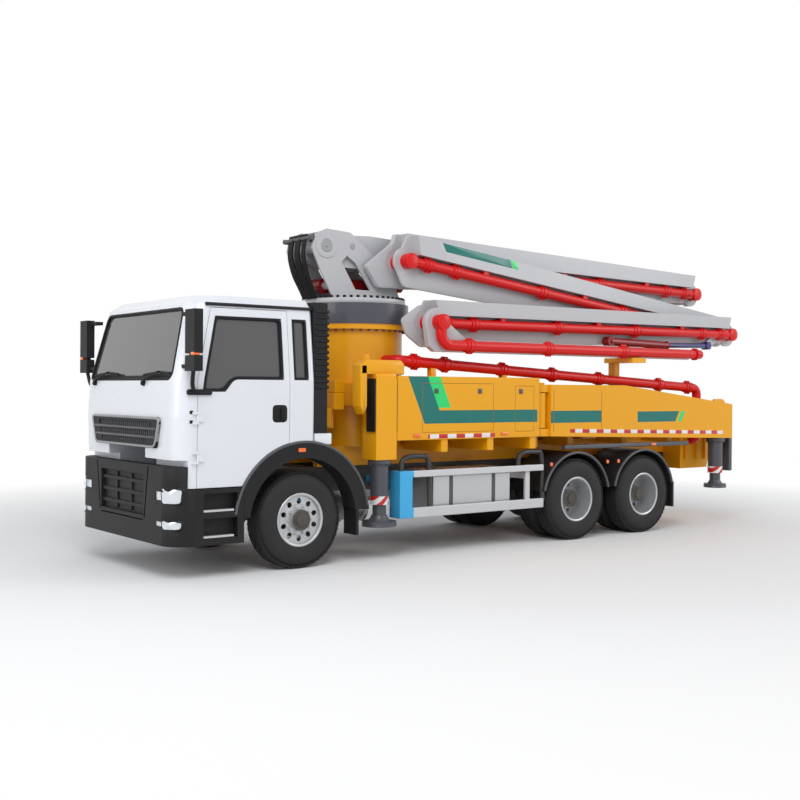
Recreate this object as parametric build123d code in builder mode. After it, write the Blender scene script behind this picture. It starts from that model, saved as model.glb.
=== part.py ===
# Truck-mounted concrete pump: three-axle cab-over truck, pump and hopper behind,
# four swing-out legs and a five-section placing boom folded along the deck.
# Stations are measured from the front axle, forward +X, left +Y, up +Z, in millimetres.
# Each piece is shifted once, when it is written, so the origin lies under its middle.
from build123d import *
import math
import os

os.makedirs("parts", exist_ok=True)

# Overall reach from the front axle
FRONT_REACH = 1600
ELBOW_RADIUS = 180
HINGE_D_X = -8090
REAR_REACH = ELBOW_RADIUS - HINGE_D_X
SHIFT = (REAR_REACH - FRONT_REACH) / 2

# Clearances
FIT = 0.3
GAP = 6

# Wheels and axles
TYRE_RADIUS = 542
TYRE_WIDTH = 300
RIM_RADIUS = 287
RIM_WALL = 12
RIM_WIDTH = 252
WHEELBASE = 4325
TANDEM = 1350
FRONT_TRACK = 2040
TWIN_PITCH = 340
TWIN_OUTER_Y = 1085
KINGPIN_Y = FRONT_TRACK / 2 - 170
KINGPIN_RADIUS = 24
SPINDLE_RADIUS = 45
HUB_RADIUS = 118
HAND_HOLES = 10
AXLE_TUBE = 75
REAR_AXLES = (-WHEELBASE, -WHEELBASE - TANDEM)
TRUNNION_X = -WHEELBASE - TANDEM / 2

# Chassis frame
RAIL_HALF = 425
RAIL_TOP = 1060
RAIL_HEIGHT = 300
RAIL_FLANGE = 80
RAIL_WALL = 9
RAIL_REAR = -7060
BUMPER_WALL = 130
RAIL_FRONT = FRONT_REACH - BUMPER_WALL
RAIL_BOTTOM = RAIL_TOP - RAIL_HEIGHT

# Cab
CAB_REAR = -130
CAB_WALL = 60
CAB_BOTTOM = 960
CAB_NOSE_BOTTOM = 1250
CAB_ROOF = 2980
CAB_BELT = CAB_ROOF - 900
ARCH_RADIUS = 880
DOOR_FRONT = 1320
DOOR_REAR = 200
DOOR_TOP = CAB_ROOF - 130
GLASS = 6
TUNNEL_HALF = 480
TUNNEL_TOP = 1400
FENDER_INNER = 690
FENDER_DEPTH = 250
CAB_HALF = 1245

# Pump structure
SUBFRAME_TOP = 1300
SUBFRAME_WIDTH = 100
DECK_UNDER = 1390
DECK_OUT = 1200
PEDESTAL_X = -1510
PEDESTAL_RADIUS = 620
PEDESTAL_TOP = 2790
RING_RADIUS = 700
RING_TOP = 3050
CABINET_FRONT = -1310
CABINET_REAR = -3640
CABINET_TOP = 2155
CABINET_DEPTH = 400

# Front legs: curved beams that slide in curved boxes
LEG_X = -1140
LEG_Y = 1080
LEG_TUBE = 300
LEG_TOP = 2130
LEG_BOTTOM = 1170
LEG_FOOT = 390
BEND_RADIUS = 3200
BEAM_WIDTH = 190
BEAM_HEIGHT = 220
BEAM_LEVELS = {"left": 1930, "right": 1660}
BEAM_TAIL = 36
BOX_WALL = 20

# Rear legs: box arms that swing on upright pins
ARM_PIN_X = -3750
ARM_PIN_Y = 1075
ARM_PIN_RADIUS = 40
ARM_LUG = 90
ARM_INNER = 950
ARM_REAR = -7730
ARM_TOP = 2070
ARM_KINK = -5300
ARM_TAIL_TOP = 1800
ARM_TAIL_BOTTOM = 1286
REAR_LEG_X = -7480
REAR_FOOT = 540
ROD_RADIUS = 80
FOOT_RADIUS = 205
FOOT_THICK = 60

# Boom: each section has its own lane across the truck
PIPE_RADIUS = 66.5
CLAMP_RADIUS = 88
CLAMP_WIDTH = 70
PLATE_INNER = 270
PLATE_OUTER = 300
HINGE_A = (-890, 3745)
HINGE_B = (-7700, 3510)
HINGE_C = (-1870, 3590)
HINGE_D = (HINGE_D_X, 2880)
HINGE_E = (-2030, 2820)
PIN_RADIUS = 60
DRUM_RADIUS = 95
BEAM_LIFT = 95
HEAD_PLATE = 45
TIP_X = -6860
TIP_BOTTOM = 2460
TIP_TOP = 2620
LIFT_BASE = (-1000, 3270)
LIFT_EYE = (-2950, 3385)
LIFT_BARREL = 85
LIFT_ROD = 45

# Hopper at the rear
HOPPER_FRONT = -7060
HOPPER_REAR = -7950
HOPPER_HALF = 750
HOPPER_TOP = 1700
HOPPER_BOTTOM = 820
HOPPER_WALL = 25
PUMP_CYLINDER = 130
PUMP_SPREAD = 190
PUMP_LEVEL = 1215
SIDES = {"left": 1, "right": -1}


def write(piece, name):
    """Shift a finished piece to the common origin, label it and store it."""
    placed = piece.moved(Location((SHIFT, 0, 0)))
    placed.label = name
    export_step(placed, f"parts/{name}.step")


def prism(outline, low, high, mode=Mode.ADD):
    """Side-view outline (x, z) extruded across the truck from y = low to y = high."""
    with BuildSketch(Plane.XZ.offset(-high)) as face:
        with BuildLine():
            Polyline(*outline, close=True)
        make_face()
    extrude(face.sketch, amount=high - low, mode=mode)


def block(x, y, z, mode=Mode.ADD):
    """Box between pairs of coordinates."""
    with Locations(((x[0] + x[1]) / 2, (y[0] + y[1]) / 2, (z[0] + z[1]) / 2)):
        Box(abs(x[1] - x[0]), abs(y[1] - y[0]), abs(z[1] - z[0]), mode=mode)


def roller(x, z, radius, low, high, mode=Mode.ADD):
    """Cylinder across the truck, from y = low to y = high."""
    with BuildSketch(Plane.XZ.offset(-high)) as face:
        with Locations((x, z)):
            Circle(radius)
    extrude(face.sketch, amount=high - low, mode=mode)


def post(x, y, radius, low, high, mode=Mode.ADD):
    """Upright cylinder from z = low to z = high."""
    with BuildSketch(Plane.XY.offset(low)) as face:
        with Locations((x, y)):
            Circle(radius)
    extrude(face.sketch, amount=high - low, mode=mode)


def rod(start, end, radius, mode=Mode.ADD):
    """Round bar between two points."""
    way = Vector(*end) - Vector(*start)
    with BuildSketch(Plane(origin=start, z_dir=way)) as face:
        Circle(radius)
    extrude(face.sketch, amount=way.length, mode=mode)


def pipe(points, bend, radius=PIPE_RADIUS, mode=Mode.ADD):
    """Round pipe along straight runs joined by arcs of one bend radius."""
    with BuildLine() as route:
        FilletPolyline(*points, radius=bend)
    with BuildSketch(Plane(origin=route.line @ 0, z_dir=route.line % 0)) as face:
        Circle(radius)
    sweep(face.sketch, path=route.line, mode=mode)


def ring(profile, x, z, mode=Mode.ADD):
    """Turned piece: a (y, r) profile spun about the crosswise axis through (x, z)."""
    with BuildSketch(Plane(origin=(x, 0, z), x_dir=(0, 1, 0), z_dir=(1, 0, 0))) as face:
        with BuildLine():
            Polyline(*profile, close=True)
        make_face()
    revolve(face.sketch, axis=Axis((x, 0, z), (0, 1, 0)), mode=mode)


# Chassis frame: two channel rails, cross members, spring hangers and the trunnion shaft
CROSS_MEMBERS = (1300, -700, -2400, -3700, TRUNNION_X, -6500)
SPRING_SPAN = 780
HANGER_BOTTOM = 690
TRUNNION_Z = 600
TRUNNION_RADIUS = 60
SPRING_Y = (445, 525)
with BuildPart() as chassis_frame:
    for side in SIDES.values():
        web = (side * (RAIL_HALF - RAIL_FLANGE), side * RAIL_HALF)
        hollow = (side * (RAIL_HALF - RAIL_FLANGE), side * (RAIL_HALF - RAIL_WALL))
        block((RAIL_REAR, RAIL_FRONT), web, (RAIL_BOTTOM, RAIL_TOP))
        block((RAIL_REAR, RAIL_FRONT), hollow, (RAIL_BOTTOM + RAIL_WALL, RAIL_TOP - RAIL_WALL), Mode.SUBTRACT)
    for station in CROSS_MEMBERS:
        inner = RAIL_HALF - RAIL_WALL
        block((station - 45, station + 45), (-inner, inner), (RAIL_BOTTOM + 170, RAIL_TOP - RAIL_WALL))
    for side in SIDES.values():
        for station in (SPRING_SPAN, -SPRING_SPAN):
            block((station - 50, station + 50), (side * 345, side * RAIL_HALF), (HANGER_BOTTOM, RAIL_BOTTOM))
        block((TRUNNION_X - 110, TRUNNION_X + 110), (side * 345, side * RAIL_HALF), (TRUNNION_Z - 70, RAIL_BOTTOM))
        ends = sorted((side * 345, side * (SPRING_Y[1] + 25)))
        roller(TRUNNION_X, TRUNNION_Z, TRUNNION_RADIUS, *ends)
write(chassis_frame.part, "chassis_frame")

# Engine and gearbox between the rails, on four feet, with a socket for the drive shaft
SHAFT_RADIUS = 55
SHAFT_FRONT = (-600, 0, 866)
ENGINE_HALF = 330
ENGINE_FEET = (820, 80)
with BuildPart() as engine:
    block((-150, 1000), (-ENGINE_HALF, ENGINE_HALF), (700, 1370))
    block((-640, -150), (-220, 220), (720, 1040))
    for station in ENGINE_FEET:
        foot = RAIL_HALF - RAIL_WALL
        block((station - 60, station + 60), (-foot, foot), (RAIL_BOTTOM + RAIL_WALL, RAIL_BOTTOM + 70))
    rod((REAR_AXLES[0], 0, TYRE_RADIUS), SHAFT_FRONT, SHAFT_RADIUS + FIT, Mode.SUBTRACT)
write(engine.part, "engine")

# Axles: dropped front beam with kingpins, two driven housings and their shafts
BEAM_LOW = 440
EYE_RADIUS = 62
EYE_LOW = 480
EYE_HIGH = 600
BANJO_RADIUS = 205
with BuildPart() as axles:
    block((-48, 48), (-KINGPIN_Y, KINGPIN_Y), (BEAM_LOW + 40, BEAM_LOW + 130))
    block((-80, 80), (-KINGPIN_Y + 150, KINGPIN_Y - 150), (BEAM_LOW, BEAM_LOW + 130))
    for side in SIDES.values():
        post(0, side * KINGPIN_Y, EYE_RADIUS, EYE_LOW, EYE_HIGH)
        post(0, side * KINGPIN_Y, KINGPIN_RADIUS, EYE_LOW - 60, EYE_HIGH + 60)
    for station in REAR_AXLES:
        roller(station, TYRE_RADIUS, AXLE_TUBE, -570, 570)
        roller(station, TYRE_RADIUS, SPINDLE_RADIUS, -1000, 1000)
        ring([(-150, 0), (-150, 120), (-70, BANJO_RADIUS), (70, BANJO_RADIUS), (150, 120), (150, 0)], station, TYRE_RADIUS)
        rod((station, 0, TYRE_RADIUS), (station + 330, 0, TYRE_RADIUS + 20), 95)
    rod((REAR_AXLES[0], 0, TYRE_RADIUS), SHAFT_FRONT, SHAFT_RADIUS)
    rod((REAR_AXLES[1], 0, TYRE_RADIUS), (REAR_AXLES[0], 0, TYRE_RADIUS), SHAFT_RADIUS)
write(axles.part, "axles")

# Leaf springs: arched packs at the front, equalising packs over the trunnion at the rear
LEAF = 62
FRONT_PAD = BEAM_LOW + 130
with BuildPart() as leaf_springs:
    for side in SIDES.values():
        with BuildSketch(Plane.XZ.offset(-(side * 385 + 40))) as pack:
            with BuildLine():
                ThreePointArc((-SPRING_SPAN, HANGER_BOTTOM), (0, FRONT_PAD + LEAF), (SPRING_SPAN, HANGER_BOTTOM))
                Line((SPRING_SPAN, HANGER_BOTTOM), (SPRING_SPAN, HANGER_BOTTOM - 25))
                ThreePointArc((SPRING_SPAN, HANGER_BOTTOM - 25), (0, FRONT_PAD), (-SPRING_SPAN, HANGER_BOTTOM - 25))
                Line((-SPRING_SPAN, HANGER_BOTTOM - 25), (-SPRING_SPAN, HANGER_BOTTOM))
            make_face()
        extrude(pack.sketch, amount=80)
        block((-70, 70), (side * 345, side * 425), (FRONT_PAD, FRONT_PAD + LEAF + 15))
    rear_end = TYRE_RADIUS + AXLE_TUBE
    rear_high = TRUNNION_Z + TRUNNION_RADIUS + 40
    for low, high in ((SPRING_Y[0], SPRING_Y[1]), (-SPRING_Y[1], -SPRING_Y[0])):
        front, back = REAR_AXLES[0] + 40, REAR_AXLES[1] - 40
        with BuildSketch(Plane.XZ.offset(-high)) as pack:
            with BuildLine():
                ThreePointArc((back, rear_end + 30), (TRUNNION_X, rear_high + 95), (front, rear_end + 30))
                Line((front, rear_end + 30), (front, rear_end))
                ThreePointArc((front, rear_end), (TRUNNION_X, rear_high), (back, rear_end))
                Line((back, rear_end), (back, rear_end + 30))
            make_face()
        extrude(pack.sketch, amount=high - low)
        block((TRUNNION_X - 100, TRUNNION_X + 100), (low, high), (TRUNNION_Z - 90, rear_high + 20))
        for station in REAR_AXLES:
            block((station - 70, station + 70), (low, high), (TYRE_RADIUS, rear_end + 25))
            roller(station, TYRE_RADIUS, AXLE_TUBE + FIT, low - 1, high + 1, Mode.SUBTRACT)
        roller(TRUNNION_X, TRUNNION_Z, TRUNNION_RADIUS + FIT, low - 1, high + 1, Mode.SUBTRACT)
write(leaf_springs.part, "leaf_springs")

# Steering knuckles: forked round the axle eye, with the stub the front wheel turns on
FRONT_WHEEL_Y = FRONT_TRACK / 2
KNUCKLE_FACE = FRONT_WHEEL_Y - 70
for name, side in SIDES.items():
    with BuildPart() as knuckle:
        for low, high in ((EYE_LOW - 62, EYE_LOW - 2), (EYE_HIGH + 2, EYE_HIGH + 62)):
            post(0, side * KINGPIN_Y, EYE_RADIUS, low, high)
            block((-EYE_RADIUS, EYE_RADIUS), (side * KINGPIN_Y, side * KNUCKLE_FACE), (low, high))
        web = (side * (KNUCKLE_FACE - 30), side * KNUCKLE_FACE)
        block((-EYE_RADIUS, EYE_RADIUS), web, (EYE_LOW - 62, EYE_HIGH + 62))
        post(0, side * KINGPIN_Y, KINGPIN_RADIUS + FIT, EYE_LOW - 70, EYE_HIGH + 70, Mode.SUBTRACT)
        ends = sorted((side * (KNUCKLE_FACE - 10), side * (FRONT_WHEEL_Y + 105)))
        roller(0, TYRE_RADIUS, SPINDLE_RADIUS, *ends)
        ends = sorted((side * (KNUCKLE_FACE - 10), side * (KNUCKLE_FACE + 10)))
        roller(0, TYRE_RADIUS, 200, *ends)
    write(knuckle.part, f"knuckle_{name}")

# Tyres: road tyres with flat treads and bulged walls, twins share one node
HALF = TYRE_WIDTH / 2
TREAD_HALF = HALF - 38
TYRE_PROFILE = (
    (HALF - 26, RIM_RADIUS + FIT), (HALF - 4, RIM_RADIUS + 50), (HALF, RIM_RADIUS + 120),
    (HALF - 14, TYRE_RADIUS - 40), (TREAD_HALF, TYRE_RADIUS - 4), (TREAD_HALF - 30, TYRE_RADIUS),
)


def tyre(x, y):
    """One tyre spun about its axle at side position y."""
    outer = [(y + across, radius) for across, radius in TYRE_PROFILE]
    inner = [(y - across, radius) for across, radius in reversed(TYRE_PROFILE)]
    ring(outer + inner, x, TYRE_RADIUS)


def barrel(x, low, high):
    """Wheel rim: a thin drum between two side positions."""
    ring([(low, RIM_RADIUS - RIM_WALL), (high, RIM_RADIUS - RIM_WALL), (high, RIM_RADIUS), (low, RIM_RADIUS)], x, TYRE_RADIUS)


def disc(x, low, high, bolt_circle, hole):
    """Wheel disc with its ring of hand holes."""
    ring([(low, 0), (high, 0), (high, RIM_RADIUS - 4), (low, RIM_RADIUS - 4)], x, TYRE_RADIUS)
    for index in range(HAND_HOLES):
        turn = math.radians(360 / HAND_HOLES * index)
        spot = (x + bolt_circle * math.sin(turn), TYRE_RADIUS + bolt_circle * math.cos(turn))
        roller(*spot, hole, low - 1, high + 1, Mode.SUBTRACT)


for name, side in SIDES.items():
    with BuildPart() as tyre_front:
        tyre(0, side * FRONT_WHEEL_Y)
    write(tyre_front.part, f"tyre_front_{name}")
    with BuildPart() as wheel_front:
        face = side * (FRONT_WHEEL_Y + 86)
        ends = sorted((side * (FRONT_WHEEL_Y - RIM_WIDTH / 2), side * (FRONT_WHEEL_Y + RIM_WIDTH / 2)))
        barrel(0, *ends)
        ends = sorted((face, face + side * 16))
        disc(0, ends[0], ends[1], 205, 30)
        ends = sorted((side * (FRONT_WHEEL_Y - 40), side * (FRONT_WHEEL_Y + RIM_WIDTH / 2 + 30)))
        roller(0, TYRE_RADIUS, HUB_RADIUS, *ends)
        ends = sorted((side * (FRONT_WHEEL_Y - 41), side * (FRONT_WHEEL_Y + 110)))
        roller(0, TYRE_RADIUS, SPINDLE_RADIUS + FIT, *ends, Mode.SUBTRACT)
    write(wheel_front.part, f"wheel_front_{name}")
    for number, station in enumerate(REAR_AXLES, 1):
        twins = (TWIN_OUTER_Y, TWIN_OUTER_Y - TWIN_PITCH)
        middle = TWIN_OUTER_Y - TWIN_PITCH / 2
        with BuildPart() as tyre_rear:
            for across in twins:
                tyre(station, side * across)
        write(tyre_rear.part, f"tyre_rear_{number}_{name}")
        with BuildPart() as wheel_rear:
            ends = sorted((side * (twins[1] - RIM_WIDTH / 2), side * (twins[0] + RIM_WIDTH / 2)))
            barrel(station, *ends)
            disc(station, min(side * (middle - 20), side * (middle + 20)), max(side * (middle - 20), side * (middle + 20)), 215, 30)
            ends = sorted((side * (middle - 120), side * (middle + 200)))
            roller(station, TYRE_RADIUS, HUB_RADIUS, *ends)
            ends = sorted((side * (middle - 121), side * 1010))
            roller(station, TYRE_RADIUS, SPINDLE_RADIUS + FIT, *ends, Mode.SUBTRACT)
        write(wheel_rear.part, f"wheel_rear_{number}_{name}")

# Cab: hollow shell lofted through plan sections, each row one height of the body
CAB_SECTIONS = (
    # height, nose, half width, corner radius
    (CAB_BOTTOM, 1535, CAB_HALF - 12, 200),
    (CAB_BELT - 380, 1550, CAB_HALF, 200),
    (CAB_BELT, 1530, CAB_HALF, 210),
    (CAB_ROOF - 90, 1335, CAB_HALF - 85, 230),
    (CAB_ROOF, 1215, CAB_HALF - 175, 230),
)
REAR_CORNER = 50


def cab_volume(inset):
    """Closed cab form, drawn inwards by the inset on every side."""
    with BuildPart() as volume:
        last = len(CAB_SECTIONS) - 1
        for row, (height, nose, half, corner) in enumerate(CAB_SECTIONS):
            level = height + (inset if row == 0 else -inset if row == last else 0)
            front, back, side = nose - inset, CAB_REAR + inset, half - inset
            with BuildSketch(Plane.XY.offset(level)):
                with BuildLine():
                    Polyline((back, -side), (front, -side), (front, side), (back, side), close=True)
                make_face()
                fillet(vertices().sort_by(Axis.X)[-2:], corner - inset)
                fillet(vertices().sort_by(Axis.X)[:2], max(REAR_CORNER - inset, 5))
        loft(ruled=True)
        roller(0, TYRE_RADIUS, ARCH_RADIUS + inset, -2000, 2000, Mode.SUBTRACT)
        block((CAB_REAR - 50, 2000), (-TUNNEL_HALF - inset, TUNNEL_HALF + inset), (500, TUNNEL_TOP + inset), Mode.SUBTRACT)
        block((FRONT_REACH - 190 - inset, 2000), (-2000, 2000), (500, CAB_NOSE_BOTTOM + inset), Mode.SUBTRACT)
    return volume.part


def door_outline(gap):
    """Side view of a door opening, drawn in by the gap."""
    return [
        (DOOR_FRONT - gap, 700), (DOOR_FRONT - gap, CAB_BELT), (DOOR_FRONT - 185 - gap, DOOR_TOP - gap),
        (DOOR_REAR + gap, DOOR_TOP - gap), (DOOR_REAR + gap, 700),
    ]


WINDOW_LOW = CAB_BELT + 10
WINDOW_STEP = CAB_BELT - 120
WINDOW_HIGH = CAB_ROOF - 220
DOOR_WINDOW = [
    (DOOR_FRONT - 60, WINDOW_STEP), (DOOR_FRONT - 75, CAB_BELT), (DOOR_FRONT - 235, WINDOW_HIGH),
    (DOOR_REAR + 75, WINDOW_HIGH), (DOOR_REAR + 75, WINDOW_LOW), (DOOR_FRONT - 430, WINDOW_LOW),
    (DOOR_FRONT - 330, WINDOW_STEP),
]
QUARTER_WINDOW = [(DOOR_REAR - 55, WINDOW_LOW), (DOOR_REAR - 55, WINDOW_HIGH), (CAB_REAR + 85, WINDOW_HIGH), (CAB_REAR + 85, WINDOW_LOW)]
SCREEN_LOW = CAB_BELT - 5
SCREEN_HIGH = CAB_ROOF - 130
SCREEN_HALF_LOW = 1080
SCREEN_HALF_HIGH = 985


def screen_prism(mode):
    """Front-view outline of the windscreen pushed through the cab's nose."""
    with BuildSketch(Plane.YZ.offset(1000)) as face:
        with BuildLine():
            Polyline(
                (-SCREEN_HALF_LOW, SCREEN_LOW), (SCREEN_HALF_LOW, SCREEN_LOW),
                (SCREEN_HALF_HIGH, SCREEN_HIGH), (-SCREEN_HALF_HIGH, SCREEN_HIGH), close=True)
        make_face()
        fillet(face.vertices(), 90)
    extrude(face.sketch, amount=900, mode=mode)


outer_cab = cab_volume(0)
inner_cab = cab_volume(CAB_WALL)
GLASS_DEPTH = 24
glass_skin = cab_volume(GLASS_DEPTH) - cab_volume(GLASS_DEPTH + GLASS)

DOOR_LANES = {"left": (1050, 1500), "right": (-1500, -1050)}
DOOR_INNER = CAB_HALF - 12 - CAB_WALL


def door_zone(lane, gap):
    """Room of a door in the cab's side wall, clear of the floor behind it."""
    with BuildPart() as zone:
        prism(door_outline(gap), *lane)
        inner = DOOR_INNER + gap
        block((-2000, 2000), (-inner, inner), (500, CAB_BELT), Mode.SUBTRACT)
    return zone.part


# Door hinges: knuckles on the doors between lugs on the cab, turning on upright pins
HINGE_KNUCKLE = 11
DOOR_HINGE_Y = CAB_HALF + HINGE_KNUCKLE + GAP
HINGE_PIN = 5
HINGE_HEIGHTS = ((1240, 1310), (1650, 1720))
LEAF = (CAB_HALF - 20, DOOR_HINGE_Y + 7)
LUG_HEIGHT = 26


def hinge_piece(side, turn, low, high):
    """Round knuckle on the hinge line, with its leaf on the door (turn -1) or the cab (turn 1)."""
    post(DOOR_FRONT, side * DOOR_HINGE_Y, HINGE_KNUCKLE, low, high)
    across = (side * (CAB_HALF + 1), side * LEAF[1])
    block((DOOR_FRONT, DOOR_FRONT + turn * (GAP + 2)), across, (low, high))
    leaf = (side * LEAF[0], side * LEAF[1])
    block((DOOR_FRONT + turn * (GAP + 1), DOOR_FRONT + turn * 60), leaf, (low, high))


with BuildPart() as cab:
    add(outer_cab)
    add(inner_cab, mode=Mode.SUBTRACT)
    for lane in DOOR_LANES.values():
        add(door_zone(lane, 0), mode=Mode.SUBTRACT)
    prism(QUARTER_WINDOW, -1500, 1500, Mode.SUBTRACT)
    screen_prism(Mode.SUBTRACT)
    for side in SIDES.values():
        for low, high in HINGE_HEIGHTS:
            hinge_piece(side, 1, low - FIT - LUG_HEIGHT, low - FIT)
            hinge_piece(side, 1, high + GAP, high + GAP + LUG_HEIGHT)
            post(DOOR_FRONT, side * DOOR_HINGE_Y, HINGE_PIN, low - LUG_HEIGHT, high + LUG_HEIGHT)
write(cab.part, "cab")

for name, lane in DOOR_LANES.items():
    with BuildPart() as door:
        add(outer_cab)
        add(inner_cab, mode=Mode.SUBTRACT)
        add(door_zone(lane, GAP), mode=Mode.INTERSECT)
        prism(DOOR_WINDOW, *lane, Mode.SUBTRACT)
        roller(0, TYRE_RADIUS, ARCH_RADIUS + GAP, *lane, Mode.SUBTRACT)
        for low, high in HINGE_HEIGHTS:
            hinge_piece(SIDES[name], -1, low, high)
            hinge_y = SIDES[name] * DOOR_HINGE_Y
            post(DOOR_FRONT, hinge_y, HINGE_PIN + FIT, low - 1, high + 1, Mode.SUBTRACT)
    write(door.part, f"door_{name}")
    with BuildPart() as door_glass:
        add(glass_skin)
        prism(DOOR_WINDOW, *lane, Mode.INTERSECT)
    write(door_glass.part, f"door_glass_{name}")

with BuildPart() as screen:
    add(glass_skin)
    screen_prism(Mode.INTERSECT)
with BuildPart() as quarter_windows:
    add(glass_skin)
    prism(QUARTER_WINDOW, -1500, 1500, Mode.INTERSECT)
with BuildPart() as cab_glass:
    add(screen.part)
    for pane in quarter_windows.solids():
        if abs(pane.center().Y) > 900:
            add(pane)
write(cab_glass.part, "cab_glass")

# Cab inside: two seats on the floor and the dashboard with its steering wheel
SEAT_TOP = CAB_ROOF - 460
DASH_TOP = CAB_BELT - 90
WHEEL_RISE = DASH_TOP + 10
with BuildPart() as cab_interior:
    for low, high in ((540, 1000), (-1000, -540)):
        seat = [(150, 1470), (620, 1470), (640, 1800), (560, 1840), (250, 1810), (130, SEAT_TOP), (10, SEAT_TOP)]
        prism(seat, low, high)
    floor = TUNNEL_TOP + CAB_WALL
    dash = [(1130, floor), (1130, DASH_TOP - 90), (1180, DASH_TOP), (1440, DASH_TOP), (1455, floor)]
    prism(dash, -1000, 1000)
    rod((1140, 770, WHEEL_RISE - 100), (960, 770, WHEEL_RISE), 30)
    with BuildSketch(Plane(origin=(960, 770, WHEEL_RISE), z_dir=(-180, 0, 100))) as rim:
        Circle(230)
        Circle(195, mode=Mode.SUBTRACT)
        Rectangle(400, 40)
    extrude(rim.sketch, amount=30)
write(cab_interior.part, "cab_interior")

# Front grille: dark trapezoid plate with three long slots
GRILLE_HIGH = CAB_BELT - 390
GRILLE_LOW = GRILLE_HIGH - 330
GRILLE_HALF_LOW = 790
GRILLE_HALF_HIGH = 900
GRILLE_FACE = 1580
GRILLE_SLOTS = ((GRILLE_LOW + 70, 600), (GRILLE_LOW + 160, 640), (GRILLE_LOW + 250, 680))
with BuildPart() as grille:
    with BuildSketch(Plane.YZ.offset(1500)) as face:
        with BuildLine():
            Polyline(
                (-GRILLE_HALF_LOW, GRILLE_LOW), (GRILLE_HALF_LOW, GRILLE_LOW),
                (GRILLE_HALF_HIGH, GRILLE_HIGH), (-GRILLE_HALF_HIGH, GRILLE_HIGH), close=True)
        make_face()
        fillet(face.vertices(), 50)
    extrude(face.sketch, amount=GRILLE_FACE - 1500)
    for height, half in GRILLE_SLOTS:
        block((GRILLE_FACE - 18, GRILLE_FACE + 5), (-half, half), (height - 22, height + 22), Mode.SUBTRACT)
    add(outer_cab, mode=Mode.SUBTRACT)
write(grille.part, "grille")

# Bumper: black U round the nose and the entry steps, with lamp pockets and a centre intake
BUMPER_LOW = 360
BUMPER_SIDE_TOP = 950
BUMPER_TOP = 1185
BUMPER_BACK = 760
BUMPER_CORNER = 260
LAMP_Y = 1020
LAMP_HALF = 170
LAMP_ROWS = ((830, 920), (560, 610))
with BuildPart() as bumper:
    for inset, mode in ((0, Mode.ADD), (BUMPER_WALL, Mode.SUBTRACT)):
        with BuildSketch(Plane.XY.offset(BUMPER_LOW)) as plan:
            front, side = FRONT_REACH - inset, CAB_HALF - inset
            with BuildLine():
                Polyline((BUMPER_BACK, -side), (front, -side), (front, side), (BUMPER_BACK, side), close=True)
            make_face()
            fillet(plan.vertices().sort_by(Axis.X)[-2:], BUMPER_CORNER - inset)
        extrude(plan.sketch, amount=BUMPER_TOP - BUMPER_LOW, mode=mode)
    block((0, FRONT_REACH - 180), (-1500, 1500), (BUMPER_SIDE_TOP, 2000), Mode.SUBTRACT)
    block((FRONT_REACH - 45, 2000), (-560, 560), (640, 1080), Mode.SUBTRACT)
    for height in (730, 860, 990):
        block((FRONT_REACH - 60, FRONT_REACH - 20), (-560, 560), (height - 18, height + 18))
    for low, high in LAMP_ROWS:
        for side in SIDES.values():
            block((FRONT_REACH - 110, 2000), (side * (LAMP_Y - LAMP_HALF), side * 1500), (low, high), Mode.SUBTRACT)
    for low, high in ((430, 640), (700, 900)):
        for side in SIDES.values():
            block((840, 1240), (side * (CAB_HALF - 90), side * 1500), (low, high), Mode.SUBTRACT)
write(bumper.part, "bumper")

# Headlamps and fog lamps: lenses that fill the bumper's corner pockets
with BuildPart() as headlamps:
    with BuildSketch(Plane.XY.offset(LAMP_ROWS[1][0])) as plan:
        with BuildLine():
            Polyline((1300, -CAB_HALF + 12), (FRONT_REACH - 12, -CAB_HALF + 12), (FRONT_REACH - 12, CAB_HALF - 12), (1300, CAB_HALF - 12), close=True)
        make_face()
        fillet(plan.vertices().sort_by(Axis.X)[-2:], BUMPER_CORNER - 12)
    extrude(plan.sketch, amount=LAMP_ROWS[0][1] - LAMP_ROWS[1][0])
    block((0, FRONT_REACH - 110), (-1500, 1500), (0, 2000), Mode.SUBTRACT)
    block((0, 2000), (-LAMP_Y + LAMP_HALF, LAMP_Y - LAMP_HALF), (0, 2000), Mode.SUBTRACT)
    block((0, 2000), (-2000, 2000), (LAMP_ROWS[1][1], LAMP_ROWS[0][0]), Mode.SUBTRACT)
write(headlamps.part, "headlamps")

# Mirrors: an upright pair of housings on two arms at each front pillar
MIRROR_OUT = 1500
with BuildPart() as mirrors:
    for side in SIDES.values():
        for low, high in ((CAB_BELT + 90, CAB_BELT + 250), (CAB_BELT + 270, CAB_BELT + 720)):
            block((1390, 1490), (side * 1290, side * MIRROR_OUT), (low, high))
        block((1420, 1460), (side * 1330, side * 1460), (CAB_BELT + 240, CAB_BELT + 280))
        block((1415, 1455), (side * 1130, side * 1300), (CAB_BELT + 120, CAB_BELT + 160))
        block((1350, 1440), (side * 1130, side * 1300), (CAB_BELT + 660, CAB_BELT + 700))
    add(outer_cab, mode=Mode.SUBTRACT)
write(mirrors.part, "mirrors")

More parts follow.
